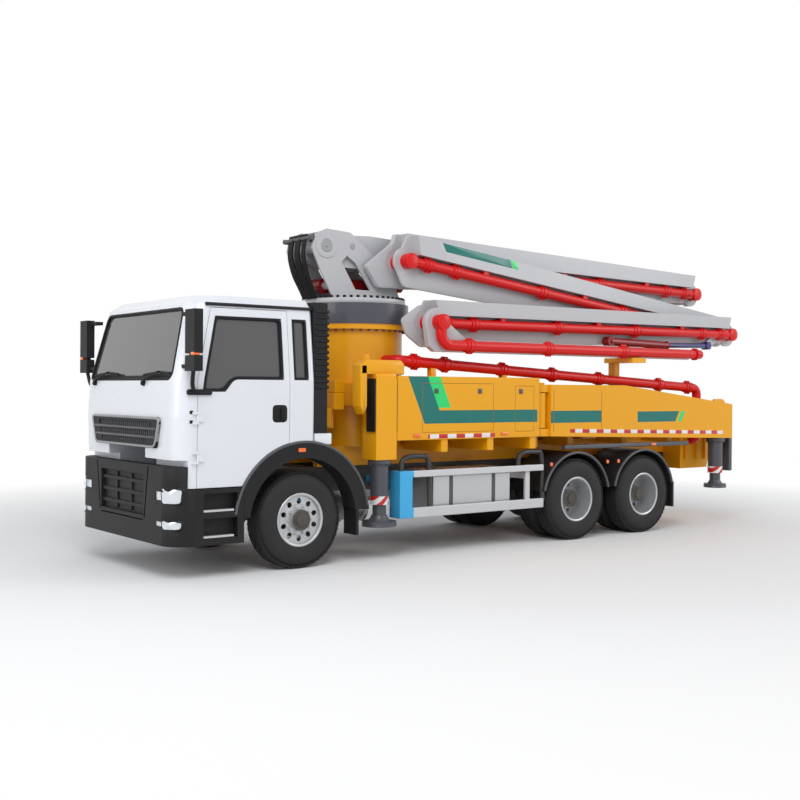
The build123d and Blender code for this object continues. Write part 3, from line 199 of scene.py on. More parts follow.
def piece(name, material, body, *grids):
    """One mesh over several grids of points (rows by columns by xyz), welded where points meet."""
    faces, start = [], 0
    for grid in grids:
        rows, columns = grid.shape[:2]
        index = start + np.arange(rows * columns).reshape(rows, columns)
        corners = (index[:-1, :-1], index[1:, :-1], index[1:, 1:], index[:-1, 1:])
        faces.append(np.stack(corners, axis=-1).reshape(-1, 4))
        start += rows * columns
    points = np.concatenate([grid.reshape(-1, 3) for grid in grids])
    spots, back = np.unique(np.round(points, WELD_DIGITS), axis=0, return_inverse=True)
    quads = back.reshape(-1)[np.concatenate(faces)].tolist()
    outlines = [list(dict.fromkeys(quad)) for quad in quads]
    mesh = bpy.data.meshes.new(name)
    mesh.from_pydata(spots.tolist(), [], [outline for outline in outlines if len(outline) > 2])
    shell = bmesh.new()
    shell.from_mesh(mesh)
    bmesh.ops.recalc_face_normals(shell, faces=shell.faces)
    shell.to_mesh(mesh)
    shell.free()
    mesh.polygons.foreach_set("use_smooth", np.ones(len(mesh.polygons), bool))
    mesh.set_sharp_from_angle(angle=SHARP_ANGLE)
    mesh.materials.append(material)
    made = bpy.data.objects.new(name, mesh)
    bpy.context.scene.collection.objects.link(made)
    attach(made, body)
    return made


def turned(profile, origin, axis, steps=32):
    """Profile of (distance along the axis, radius) rows spun once round the axis through the origin."""
    axis = np.array(axis, float) / np.linalg.norm(axis)
    side = np.cross(axis, (0, 0, 1) if abs(axis[2]) < 0.9 else (1, 0, 0))
    side /= np.linalg.norm(side)
    angle = np.linspace(0, 2 * np.pi, steps + 1)[:, None]
    spoke = np.cos(angle) * side + np.sin(angle) * np.cross(axis, side)
    rows = np.array(profile, float)
    centre = np.array((origin[0] + FRONT_AXLE, origin[1], origin[2]))
    return centre + rows[:, 0, None, None] * axis + rows[:, 1, None, None] * spoke


def drum(start, length, radius, axis, edge=0.006, steps=32):
    """Closed cylinder with softened rims, from the start point along the axis."""
    near = ((0, 0), (0, radius - edge), (edge, radius))
    far = ((length - edge, radius), (length, radius - edge), (length, 0))
    return turned((*near, *far), start, axis, steps)


def spool(start, length, radius, axis, rim):
    """Closed cylinder from the start point along the axis, which widens by the rim toward each end."""
    near = ((0, 0), (0, radius + rim), (rim, radius))
    far = ((length - rim, radius), (length, radius + rim), (length, 0))
    return turned((*near, *far), start, axis)


chassis_black = enamel("chassis_black", tone(34, 35, 37), rough=0.42, gloss=0.1, soil=0.5)
cast_metal = enamel("cast_metal", tone(48, 47, 46), rough=0.6, gloss=0.0, soil=0.7)
tank_metal = enamel("tank_metal", tone(196, 198, 200), rough=0.34, gloss=0.0, soil=0.25, metal=0.8)
wear(chassis_black, "chassis_frame", "leaf_springs")
wear(cast_metal, "engine", "axles", "knuckle_left", "knuckle_right")
RAIL_WEB = 0.425
rivets = [
    drum((station, hand * RAIL_WEB, height), 0.012, 0.014, (0, hand, 0), 0.004, 8)
    for hand in SIDES.values() for station in np.arange(-6.9, -0.5, 0.32) for height in (0.82, 1.0)
]
piece("rail_rivets", chassis_black, "chassis", *rivets)
piece("silencer", tank_metal, "chassis", spool((-0.7, 0.84, 0.6), 0.34, 0.135, (-1, 0, 0), 0.03),
      drum((-0.8, 0.42, 0.66), 0.3, 0.035, (0, 1, 0)))

# Road tyres: steel-belted rubber with four zigzag grooves, notched shoulders and ribbed sidewalls,
# moulded in one piece and seated on the rims; the driven axles carry them in twins.
TYRE_RADIUS = 0.542
TYRE_HALF = 0.15
RIM_RADIUS = 0.2873
TREAD_HALF = 0.112
GROOVES = (0.072, 0.025)
GROOVE_DEPTH = 0.014
SHOULDER_LUGS = 56
AXLES = {"front": 0.0, "rear_1": -4.325, "rear_2": -5.675}
FRONT_WHEEL_Y = 1.02
TWIN_OUTER_Y = 1.085
TWIN_INNER_Y = 0.745


def tyre_profile():
    """Section of a tyre as (across, radius): bead, bulged wall with rings, shoulder, then tread."""
    turn = np.linspace(0, 1, 22)
    wall_r = RIM_RADIUS + (TYRE_RADIUS - 0.03 - RIM_RADIUS) * turn
    bulge = TYRE_HALF - 0.024 + 0.024 * np.sin(np.pi * np.clip(turn * 0.92 + 0.04, 0, 1)) ** 0.8
    rings = 0.0022 * (np.abs(turn - 0.16) < 0.03) + 0.0022 * (np.abs(turn - 0.8) < 0.03)
    wall = np.stack((bulge - 0.0024 + rings - 0.022 * turn ** 9, wall_r), axis=1)
    edges = np.array([[g + 0.0075, g + 0.005, g - 0.005, g - 0.0075] for g in GROOVES])
    tread_y = np.concatenate([[TREAD_HALF + 0.012, TREAD_HALF, TREAD_HALF - 0.012], edges.ravel()])
    drop = np.concatenate([[0.012, 0.004, 0.001], np.tile([0, GROOVE_DEPTH, GROOVE_DEPTH, 0], len(edges))])
    tread = np.stack((tread_y, TYRE_RADIUS - drop), axis=1)
    half = np.concatenate((wall, tread))
    return np.concatenate((half, half[::-1] * (-1, 1)))


def tyre(station, middle):
    """Tyre section carried round the axle; grooves swing from side to side, shoulders have lugs."""
    across, radius = tyre_profile().T
    step = np.arange(SHOULDER_LUGS * 4 + 1)
    angle = 2 * np.pi * step / (SHOULDER_LUGS * 4)
    tread = radius > TYRE_RADIUS - 0.0155
    groove = tread & (np.abs(across) < TREAD_HALF - 0.013)
    shoulder = tread & (np.abs(across) >= TREAD_HALF - 0.001)
    swing = 0.006 * np.sign(np.sin(angle * SHOULDER_LUGS / 2 + 0.4))
    lug = step % 4 < 2
    y = middle + across + swing[:, None] * groove
    r = radius - 0.011 * lug[:, None] * shoulder
    turn = angle[:, None]
    return np.stack((FRONT_AXLE + station + r * np.sin(turn), y, TYRE_RADIUS + r * np.cos(turn)), axis=-1)


def rubber(place):
    """Black rubber, browner and duller where road film has dried on it."""
    film = noise(place, 14, 5) * noise(place, 3, 2)
    return {
        "Base Color": (film * 1.1).blend(tone(27, 27, 29), tone(58, 56, 54)),
        "Roughness": film * 0.3 + 0.6,
        "Normal": ripple(place, 420, 0.0002),
    }


tyre_rubber = finish("tyre_rubber", rubber, {"Specular IOR Level": 0.35})
for side, hand in SIDES.items():
    for axle, station in AXLES.items():
        middles = (FRONT_WHEEL_Y,) if axle == "front" else (TWIN_OUTER_Y, TWIN_INNER_Y)
        made = piece(f"tread_{axle}_{side}", tyre_rubber, f"wheel_{axle}_{side}",
                     *[tyre(station, hand * middle) for middle in middles])
        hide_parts(f"tyre_{axle}_{side}")

# Wheels: pressed steel discs, sprayed silver, with a rolled lip, a ring of ten hexagon nuts on a
# thick bolting flange, and a dark cast hub that carries the bearing.
HOLES = 10
HOLE_CIRCLE = 0.217
HOLE_SIZE = 0.025


def painted_hole_shade(station, across, height):
    """Painted shade standing for round openings in each disc: small distance from the nearest of ten points
    round the axle.
    """
    rise = height - TYRE_RADIUS
    masks = []
    for axle in AXLES.values():
        run = station - axle
        reach = (run * run + rise * rise).maths("SQRT")
        turn = (rise.maths("ARCTAN2", run) * (HOLES / (2 * math.pi))).maths("FRACT") - 0.5
        aside, off = turn * reach * (2 * math.pi / HOLES), reach - HOLE_CIRCLE
        # Each opening is a dark spot of paint, painted shade in place of a hole.
        masks.append(((aside * aside + off * off) < HOLE_SIZE ** 2, tone(16, 16, 18)))
    return masks


wheel_silver = enamel("wheel_silver", tone(196, 198, 201), rough=0.35, gloss=0.25, soil=0.3, metal=0.5,
                      marks=painted_hole_shade)
RIM_EDGE = 0.126
LIP = (
    (-0.012, 0.272), (0.006, 0.27), (0.014, 0.279), (0.016, 0.29),
    (0.01, 0.299), (0.0, 0.298), (-0.004, 0.288),
)
BOLT_FLANGE = ((0, 0.122), (0.008, 0.122), (0.008, 0.172), (0, 0.178))
NUTS = 10
NUT_CIRCLE = 0.15
NUT_TURN = 0.31
NUT = ((0, 0), (0, 0.021), (0.004, 0.017), (0.022, 0.016), (0.026, 0.012), (0.034, 0.011), (0.036, 0))
HUB_CAP = ((0, 0.119), (0.012, 0.117), (0.016, 0.1), (0.016, 0.075), (0.03, 0.07), (0.034, 0.05), (0.034, 0))
DISC_FACE = {"front": FRONT_WHEEL_Y + 0.102, "rear_1": 0.935, "rear_2": 0.935}
HUB_FACE = {"front": FRONT_WHEEL_Y + 0.156, "rear_1": 1.115, "rear_2": 1.115}
for side, hand in SIDES.items():
    out = (0, hand, 0)
    for axle, station in AXLES.items():
        body = f"wheel_{axle}_{side}"
        wear(wheel_silver, body)
        edge = (FRONT_WHEEL_Y if axle == "front" else TWIN_OUTER_Y) + RIM_EDGE
        nuts = [
            turned(NUT, (station + NUT_CIRCLE * math.sin(angle), hand * DISC_FACE[axle],
                         TYRE_RADIUS + NUT_CIRCLE * math.cos(angle)), out, 6)
            for angle in np.linspace(0, 2 * np.pi, NUTS, endpoint=False) + NUT_TURN
        ]
        flange = turned(BOLT_FLANGE, (station, hand * DISC_FACE[axle], TYRE_RADIUS), out, 48)
        lip = turned((*LIP, LIP[0]), (station, hand * edge, TYRE_RADIUS), out, 64)
        piece(f"rim_{axle}_{side}", wheel_silver, body, lip, flange, *nuts)
        piece(f"hub_cap_{axle}_{side}", cast_metal, body,
              turned(HUB_CAP, (station, hand * (HUB_FACE[axle] - 0.01), TYRE_RADIUS), out, 40))

# Cab: welded steel shell, primed and sprayed gloss white, on rubber mounts over the engine. Rubber
# gaskets hold the glass; handles, gutters and vents are black mouldings pressed into the panels.
white_paint = enamel("white_paint", tone(226, 229, 234), rough=0.28, gloss=0.6, soil=0.06)
black_plastic = enamel("black_plastic", tone(24, 24, 27), rough=0.5, gloss=0.0, soil=0.06, shine=0.25)
seat_grey = enamel("seat_grey", tone(70, 71, 73), rough=0.8, gloss=0.0, soil=0.0)
wear(white_paint, "cab", "door_left", "door_right")
wear(seat_grey, "cab_interior")
wear(black_plastic, "grille", "bumper", "mirrors", "mudguards", "air_intake")
round_edges(0.012, "bumper", "mudguards", "air_intake", "grille")
round_edges(0.032, "mirrors")
CAB_ROWS = np.array((
    # height, nose, half width, corner radius
    (0.96, 1.535, 1.233, 0.2),
    (1.70, 1.55, 1.245, 0.2),
    (2.08, 1.53, 1.245, 0.21),
    (2.89, 1.335, 1.16, 0.23),
    (2.98, 1.215, 1.07, 0.23),
))


def rounded(corners, reach, steps=5):
    """Closed outline through the corners, each turned on a parabola that starts at the reach from it."""
    corners = np.array(corners, float)
    arms = np.stack((np.roll(corners, 1, axis=0), np.roll(corners, -1, axis=0))) - corners
    length = np.linalg.norm(arms, axis=2, keepdims=True)
    start, end = corners + arms / length * np.minimum(reach, length * 0.48)
    t = np.linspace(0, 1, steps)[None, :, None]
    arcs = (1 - t) ** 2 * start[:, None] + 2 * t * (1 - t) * corners[:, None] + t ** 2 * end[:, None]
    return arcs.reshape(-1, 2)


def rectangle(low_u, high_u, low_v, high_v, reach=0.004):
    """Rounded oblong between two pairs of limits."""
    return rounded(((low_u, low_v), (high_u, low_v), (high_u, high_v), (low_u, high_v)), reach)


def relief(outline, rows, place):
    """Rings of an outline: each row draws it in by an inset, or to its middle for None, at a height."""
    outline = np.array(outline)
    ahead = np.roll(outline, -1, axis=0) - np.roll(outline, 1, axis=0)
    ahead /= np.linalg.norm(ahead, axis=1, keepdims=True)
    inward = np.stack((-ahead[:, 1], ahead[:, 0]), axis=1)
    area = np.sum(outline[:, 0] * np.roll(outline[:, 1], -1) - outline[:, 1] * np.roll(outline[:, 0], -1))
    rings = []
    for inset, height in rows:
        if inset is None:
            ring = outline * 0 + outline.mean(axis=0)
        else:
            ring = outline + inward * np.sign(area) * inset
        ring = np.concatenate((ring, ring[:1]))
        rings.append(place(ring[:, 0], ring[:, 1], height))
    return np.array(rings)


def slab(outline, low, high, place, edge=0.004):
    """Closed flat piece over an outline, from height low to high, with both rims rounded by the edge."""
    under = ((None, low), (edge, low), (0, low + edge))
    over = ((0, high - edge), (edge * 0.3, high - edge * 0.3), (edge, high), (None, high))
    return relief(outline, (*under, *over), place)


def gasket(outline, width, low, high, place):
    """Closed strip of the given width inside an outline, standing from height low to high."""
    shoulder = high - 0.3 * width
    crown = ((0.25 * width, high), (0.75 * width, high))
    rows = ((0, low), (0, shoulder), *crown, (width, shoulder), (width, low), (0, low))
    return relief(outline, rows, place)


def on_side(hand):
    """Upright plane along the truck: station, height and distance from the middle line."""
    return lambda u, v, h: np.stack((FRONT_AXLE + u, hand * (h + 0 * u), v), axis=-1)


def on_front(u, v, h):
    """Upright plane across the truck: side position, height and station."""
    return np.stack((FRONT_AXLE + h + 0 * u, u, v), axis=-1)


def on_top(u, v, h):
    """Level plane: station, side position and height."""
    return np.stack((FRONT_AXLE + u, v, h + 0 * u), axis=-1)


def block(x, y, z, edge=0.006):
    """Box with rounded edges between pairs of station, side position and height."""
    outline = rectangle(min(x), max(x), min(y), max(y), edge)
    return slab(outline, min(z), max(z), on_top, edge)


def cab_side(hand):
    """Skin of the cab's side: station and height, with the height of a piece measured out from the panel."""
    def place(u, v, h):
        half = np.interp(v, CAB_ROWS[:, 0], CAB_ROWS[:, 2])
        return np.stack((FRONT_AXLE + u, hand * (half + h), v), axis=-1)
    return place


def cab_nose(u, v, h):
    """Skin of the cab's nose: side position and height; past the flat front it follows the corner's arc."""
    nose, half, corner = (np.interp(v, CAB_ROWS[:, 0], CAB_ROWS[:, column]) for column in (1, 2, 3))
    over = np.clip(np.abs(u) - (half - corner), 0, corner)
    return np.stack((FRONT_AXLE + nose - corner + np.sqrt(corner ** 2 - over ** 2) + h, u, v), axis=-1)


def tube(route, radius, sides=12):
    """Circle carried along a route of points and closed at both ends; the radius may change along it."""
    route = np.array(route, float) + (FRONT_AXLE, 0, 0)
    ahead = np.gradient(route, axis=0)
    ahead /= np.linalg.norm(ahead, axis=1, keepdims=True)
    angle = np.linspace(0, 2 * np.pi, sides + 1)[:, None]
    side = np.cross(ahead[0], (0.13, 0.22, 0.97))
    rows = [np.repeat(route[:1], sides + 1, axis=0)]
    for point, way, size in zip(route, ahead, np.broadcast_to(radius, len(route))):
        side = side - way * side.dot(way)
        side = side / np.linalg.norm(side)
        rows.append(point + size * (np.cos(angle) * side + np.sin(angle) * np.cross(way, side)))
    rows.append(np.repeat(route[-1:], sides + 1, axis=0))
    return np.array(rows)


def flow(points, steps=8):
    """Smooth route through the points: each span is a cubic that leaves and arrives along its neighbours."""
    points = np.array(points, float)
    padded = np.concatenate((2 * points[:1] - points[1:2], points, 2 * points[-1:] - points[-2:-1]))
    t = np.linspace(0, 1, steps, endpoint=False)[:, None]
    spans = [
        0.5 * (2 * b + (c - a) * t + (2 * a - 5 * b + 4 * c - d) * t ** 2 + (3 * b - a - 3 * c + d) * t ** 3)
        for a, b, c, d in zip(padded, padded[1:], padded[2:], padded[3:])
    ]
    return np.concatenate((*spans, points[-1:]))


def arc(x, z, radius, start, end, y, steps=40):
    """Route round part of a circle in side view, between two angles in degrees from straight ahead."""
    turn = np.radians(np.linspace(start, end, steps))
    return np.stack((x + radius * np.cos(turn), y + 0 * turn, z + radius * np.sin(turn)), axis=1)


DOOR_WINDOW = (
    (1.26, 1.96), (1.245, 2.08), (1.085, 2.76), (0.275, 2.76), (0.275, 2.09), (0.89, 2.09), (0.99, 1.96),
)
QUARTER_WINDOW = ((0.145, 2.09), (0.145, 2.76), (-0.045, 2.76), (-0.045, 2.09))
SCREEN = ((-1.08, 2.075), (1.08, 2.075), (0.985, 2.85), (-0.985, 2.85))
HANDLE = rectangle(0.235, 0.42, 1.63, 1.82, 0.05)
GRIP = rectangle(0.25, 0.32, 1.655, 1.795, 0.02)
VENTS = ((1.365, 1.405, 1.73, 1.765), (1.365, 1.405, 1.63, 1.665))
rubber_seal = enamel("rubber_seal", tone(17, 17, 19), rough=0.55, gloss=0.0, soil=0.03, shine=0.25,
                     slot="black_plastic")
orange_lens = enamel("orange_lens", tone(244, 108, 10), rough=0.2, gloss=1.0, soil=0.05, slot="lamp_lens")
red_lens = enamel("red_lens", tone(190, 22, 20), rough=0.2, gloss=1.0, soil=0.05, slot="lamp_lens")
for side, hand in SIDES.items():
    skin_place = cab_side(hand)
    piece(f"door_seal_{side}", rubber_seal, f"door_{side}",
          gasket(rounded(DOOR_WINDOW, 0.07), 0.034, -0.03, 0.006, skin_place))
    piece(f"door_handle_{side}", rubber_seal, f"door_{side}", slab(HANDLE, -0.01, 0.004, skin_place),
          slab(GRIP, 0.0, 0.022, skin_place, 0.008))
    piece(f"quarter_seal_{side}", rubber_seal, "chassis",
          gasket(rounded(QUARTER_WINDOW, 0.05), 0.03, -0.03, 0.006, skin_place))
    piece(f"corner_vents_{side}", rubber_seal, "chassis",
          *[slab(rectangle(*vent, 0.012), -0.01, 0.003, skin_place) for vent in VENTS])
    piece(f"roof_gutter_{side}", black_plastic, "chassis",
          slab(rectangle(-0.125, 1.19, 2.865, 2.9, 0.012), -0.02, 0.022, skin_place, 0.01))
    piece(f"rear_valance_{side}", white_paint, "chassis",
          block((-0.36, -0.14), (hand * 1.16, hand * 1.233), (1.37, 1.5), 0.012))
piece("screen_seal", rubber_seal, "chassis", gasket(rounded(SCREEN, 0.11), 0.03, -0.03, 0.006, cab_nose),
      slab(rectangle(-1.02, 1.02, 2.085, 2.13, 0.02), -0.03, -0.018, cab_nose))
wipers = []
for pivot in (-0.9, 0.42):
    arm = np.array(((pivot, 2.05), (pivot + 0.08, 2.1), (pivot + 0.36, 2.17)))
    wipers.append(tube(cab_nose(*arm.T, 0.03) - (FRONT_AXLE, 0, 0), 0.011))
    blade = np.array(((pivot - 0.02, 2.135), (pivot + 0.36, 2.165), (pivot + 0.62, 2.15)))
    wipers.append(tube(cab_nose(*blade.T, 0.012) - (FRONT_AXLE, 0, 0), 0.013, 8))
    wipers.append(drum((1.515, pivot, 2.045), 0.05, 0.032, (1, 0, 0.2)))
piece("wipers", rubber_seal, "chassis", *wipers)
GRILLE = ((-0.79, 1.36), (0.79, 1.36), (0.90, 1.69), (-0.90, 1.69))
frame_grey = enamel("frame_grey", tone(148, 150, 152), rough=0.36, gloss=0.2, soil=0.1, metal=0.3,
                    slot="wheel_silver")
dark_grey = enamel("dark_grey", tone(78, 79, 82), rough=0.45, gloss=0.1, soil=0.1, slot="black_plastic")
piece("grille_frame", frame_grey, "chassis", gasket(rounded(GRILLE, 0.08), 0.028, 1.53, 1.587, on_front))
bars = [slab(rectangle(-half, half, z - 0.012, z + 0.012, 0.008), 1.555, 1.585, on_front)
        for z, half in ((1.475, 0.78), (1.565, 0.81))]
ribs = [block((1.556, 1.572), (y - 0.006, y + 0.006), (1.4, 1.65), 0.003)
        for y in np.linspace(-0.62, 0.62, 25)]
piece("grille_bars", dark_grey, "chassis", *bars, *ribs)


def tinted(place):
    """Tinted laminated glass, nearly even."""
    return {"Roughness": noise(place, 3) * 0.02 + 0.03}


tinted_glass = finish("tinted_glass", tinted, {
    "Base Color": tone(74, 73, 75), "Specular IOR Level": 0.5, "Alpha": 0.88, "Coat Weight": 1.0,
    "Coat Roughness": 0.02})
wear(tinted_glass, "cab_glass", "door_glass_left", "door_glass_right")

# Bumper, lamps and steps: thick black mouldings in three pieces with a seam at each side of the
# grille opening, clear lamps in the corners and aluminium treads on the steps.
BUMPER_REACH = 1.6
BUMPER_CORNER = 0.26
BUMPER_HALF = 1.245


def bumper_face(u, v, h):
    """Outer skin of the bumper: side position and height; it turns back round each corner on an arc."""
    flat = BUMPER_HALF - BUMPER_CORNER
    turn = np.arcsin(np.clip((np.abs(u) - flat) / BUMPER_CORNER, 0, 0.999))
    station = BUMPER_REACH - BUMPER_CORNER + (BUMPER_CORNER + h) * np.cos(turn)
    across = np.sign(u) * (np.minimum(np.abs(u), flat) + (BUMPER_CORNER + h) * np.sin(turn))
    return np.stack((FRONT_AXLE + np.minimum(station, BUMPER_REACH), across, v), axis=-1)


def lens(place):
    """Clear moulded lens over a bright reflector."""
    return {"Roughness": noise(place, 8) * 0.05 + 0.06, "Normal": ripple(place, 60, 0.0008)}


lamp_lens = finish("lamp_lens", lens, {
    "Base Color": tone(214, 219, 224), "Metallic": 0.45, "Coat Weight": 1.0})
wear(lamp_lens, "headlamps")
seams, surrounds, bowls = [], [], []
for hand in SIDES.values():
    seam = np.array(((0.665, 1.17), (0.69, 1.17), (0.6, 0.62), (0.575, 0.62))) * (hand, 1)
    seams.append(slab(rounded(seam, 0.008), -0.01, 0.003, bumper_face))
    for low, high, inner in ((0.795, 0.965, 1.0), (0.53, 0.63, 1.01)):
        corners = np.array(((inner, low), (1.215, low), (1.225, high), (inner - 0.02, high))) * (hand, 1)
        bowls.append(slab(rounded(corners, 0.04, 8), -0.03, 0.016, bumper_face, 0.006))
        surrounds.append(gasket(rounded(corners, 0.04, 8), 0.014, -0.03, 0.02, bumper_face))
seams.append(slab(rectangle(-0.56, 0.56, 0.585, 0.6, 0.006), -0.01, 0.003, bumper_face))
cells = [block((1.545, 1.575), (y - 0.02, y + 0.02), (0.66, 1.06), 0.008) for y in (-0.19, 0.19)]
piece("bumper_seams", rubber_seal, "chassis", *seams)
piece("lamp_surrounds", black_plastic, "chassis", *surrounds, *cells)
piece("lamp_covers", lamp_lens, "chassis", *bowls)
treads = [block((0.88, 1.24), (hand * 1.17, hand * 1.243), (z, z + 0.028), 0.006)
          for hand in SIDES.values() for z in (0.432, 0.702)]
piece("step_treads", tank_metal, "chassis", *treads)
markers = [slab(rectangle(0.0, 0.09, 1.3, 1.345, 0.015), 1.24, 1.262, on_side(hand))
           for hand in SIDES.values()]
piece("arch_markers", orange_lens, "chassis", *markers)
beads = [tube(arc(0, TYRE_RADIUS, 0.868, 8, 172, hand * 1.238), 0.016) for hand in SIDES.values()]
for hand in SIDES.values():
    for axle in ("rear_1", "rear_2"):
        beads.append(tube(arc(AXLES[axle], TYRE_RADIUS, 0.622, 13, 167, hand * 1.228), 0.018))
piece("arch_beads", dark_grey, "chassis", *beads)

# Mirrors: two moulded housings on tubular arms at each pillar, with an indicator between them and
# silvered glass that faces the driver.
MIRROR_X = 1.385
mirror_glass = finish("mirror_glass", lambda place: {"Roughness": noise(place, 5) * 0.03 + 0.02},
                      {"Base Color": tone(222, 226, 230), "Metallic": 1.0}, "lamp_lens")
panes, flashers, brackets = [], [], []
for hand in SIDES.values():
    for low, high in ((2.19, 2.31), (2.38, 2.77)):
        pane = rectangle(hand * 1.315, hand * 1.475, low, high, 0.04)
        panes.append(slab(pane, MIRROR_X, MIRROR_X + 0.012, on_front))
    flashers.append(block((1.42, 1.494), (hand * 1.42, hand * 1.499), (2.325, 2.365), 0.012))
    brackets.append(slab(rectangle(1.16, 1.44, 1.925, 1.985, 0.025), -0.02, 0.03, cab_side(hand), 0.012))
    arm = flow(((1.36, hand * 1.26, 1.96), (1.42, hand * 1.33, 2.03), (1.44, hand * 1.385, 2.18)))
    brackets.append(tube(arm, 0.022))
piece("mirror_panes", mirror_glass, "chassis", *panes)
piece("mirror_flashers", orange_lens, "chassis", *flashers)
piece("mirror_brackets", black_plastic, "chassis", *brackets)

# Deck: folded sheet-steel cabinets and swing-out arm boxes in warm yellow enamel, with a painted
# stripe, hinged access doors, amber markers and reflective tape along their lower edges.
TEAL = tone(8, 112, 104)
GREEN = tone(44, 214, 112)
PANEL = 1.2
STRIPE_LEAN = 0.445


def livery(station, across, height):
    """Stripe that sweeps down the cabinet's front, runs back along it and goes on along the arm."""
    back = 0 - station - STRIPE_LEAN * (2.171 - height)
    skin_only = (across > PANEL - 0.004) * (height < 2.16)
    cabinet = skin_only * (station > -3.6) * (station < -1.32)
    low = height.between(1.585, 1.745)
    teal = cabinet * (back > 1.461) * (height > 1.585) * (low + (back < 1.762)).maths("MINIMUM", 1.0)
    green = cabinet * back.between(1.762, 1.956) * (height > 1.775)
    first = skin_only * station.between(-4.82, -3.83) * height.between(1.565, 1.725)
    lean = 0 - station - 0.6 * (height - 1.62)
    second = skin_only * (station < -5.56) * (lean < 6.42) * height.between(1.555, 1.705)
    slash = skin_only * lean.between(6.47, 6.56) * height.between(1.555, 1.705)
    return ((teal, TEAL), (green, GREEN), (first, TEAL), (second, TEAL), (slash, GREEN))


def ring_band(station, across, height):
    """Dark slew ring above the yellow column."""
    return ((height > 2.792, tone(74, 76, 84)),)


def blue_end(station, across, height):
    """Sky-blue cover on the front end of the side guard."""
    return ((station > -1.545, tone(66, 176, 232)),)


def chequer(station, across, height):
    """Red and white lengths of reflective tape."""
    return (((station * 3.6).maths("FRACT") > 0.5, tone(196, 26, 28)),)


yellow = tone(238, 166, 6)
yellow_paint = enamel("yellow_paint", yellow, rough=0.36, gloss=0.2, soil=0.08, shine=0.3)
panel_paint = enamel("panel_paint", yellow, rough=0.34, gloss=0.2, soil=0.05, shine=0.3, marks=livery,
                     slot="yellow_paint")
column_paint = enamel("column_paint", yellow, rough=0.34, gloss=0.3, soil=0.08, shine=0.3, marks=ring_band,
                      slot="yellow_paint")
guard_paint = enamel("guard_paint", tone(205, 207, 209), rough=0.36, gloss=0.1, soil=0.12, metal=0.2,
                     marks=blue_end, slot="tank_metal")
tape = enamel("tape", tone(232, 232, 230), rough=0.4, gloss=0.3, soil=0.04, marks=chequer, slot="lamp_lens")
leg_grey = enamel("leg_grey", tone(72, 74, 82), rough=0.42, gloss=0.2, soil=0.2)
wear(panel_paint, "deck_boxes", "rear_arm_left", "rear_arm_right")
wear(column_paint, "pedestal")
wear(yellow_paint, "subframe", "pump", "front_beam_left", "front_beam_right")
wear(leg_grey, "front_leg_left", "front_leg_right", "rear_leg_left", "rear_leg_right")
wear(tank_metal, "tanks")
wear(guard_paint, "side_guards")
wear(chassis_black, "grate")
round_edges(0.01, "deck_boxes", "rear_arm_left", "rear_arm_right", "front_beam_left", "front_beam_right",
            "side_guards")
DOORS = ((-2.835, -1.684, 1.477, 2.077), (-3.54, -3.2, 1.464, 2.052))
DECK_MARKERS = (-1.604, -3.011)
ARM_LINES = (-3.9, -4.82)
ARM_EAR = ((-7.38, 1.8), (-7.44, 1.88), (-7.64, 1.88), (-7.72, 1.8), (-7.72, 1.75), (-7.38, 1.75))
ARM_TAPE = ((-4.21, 1.432), (-7.5, 1.352), (-7.5, 1.402), (-4.21, 1.482))
TAPE_FACES = (PANEL - 0.002, PANEL + 0.0015)
GUARD_LOOP = (
    # ahead of the loop's middle, distance from the middle line, height
    (0.22, 1.16, 0.95), (0.2, 1.15, 1.13), (0.1, 1.15, 1.19),
    (-0.1, 1.15, 1.19), (-0.2, 1.15, 1.13), (-0.22, 1.16, 0.55),
)
# The door and arm seams are strips in a darker copy of the panel yellow: painted shade for the gaps between
# the panels.
seam_shade_orange = enamel("seam_shade_orange", tone(150, 92, 20), rough=0.6, gloss=0.0, soil=0.1, slot="yellow_paint")
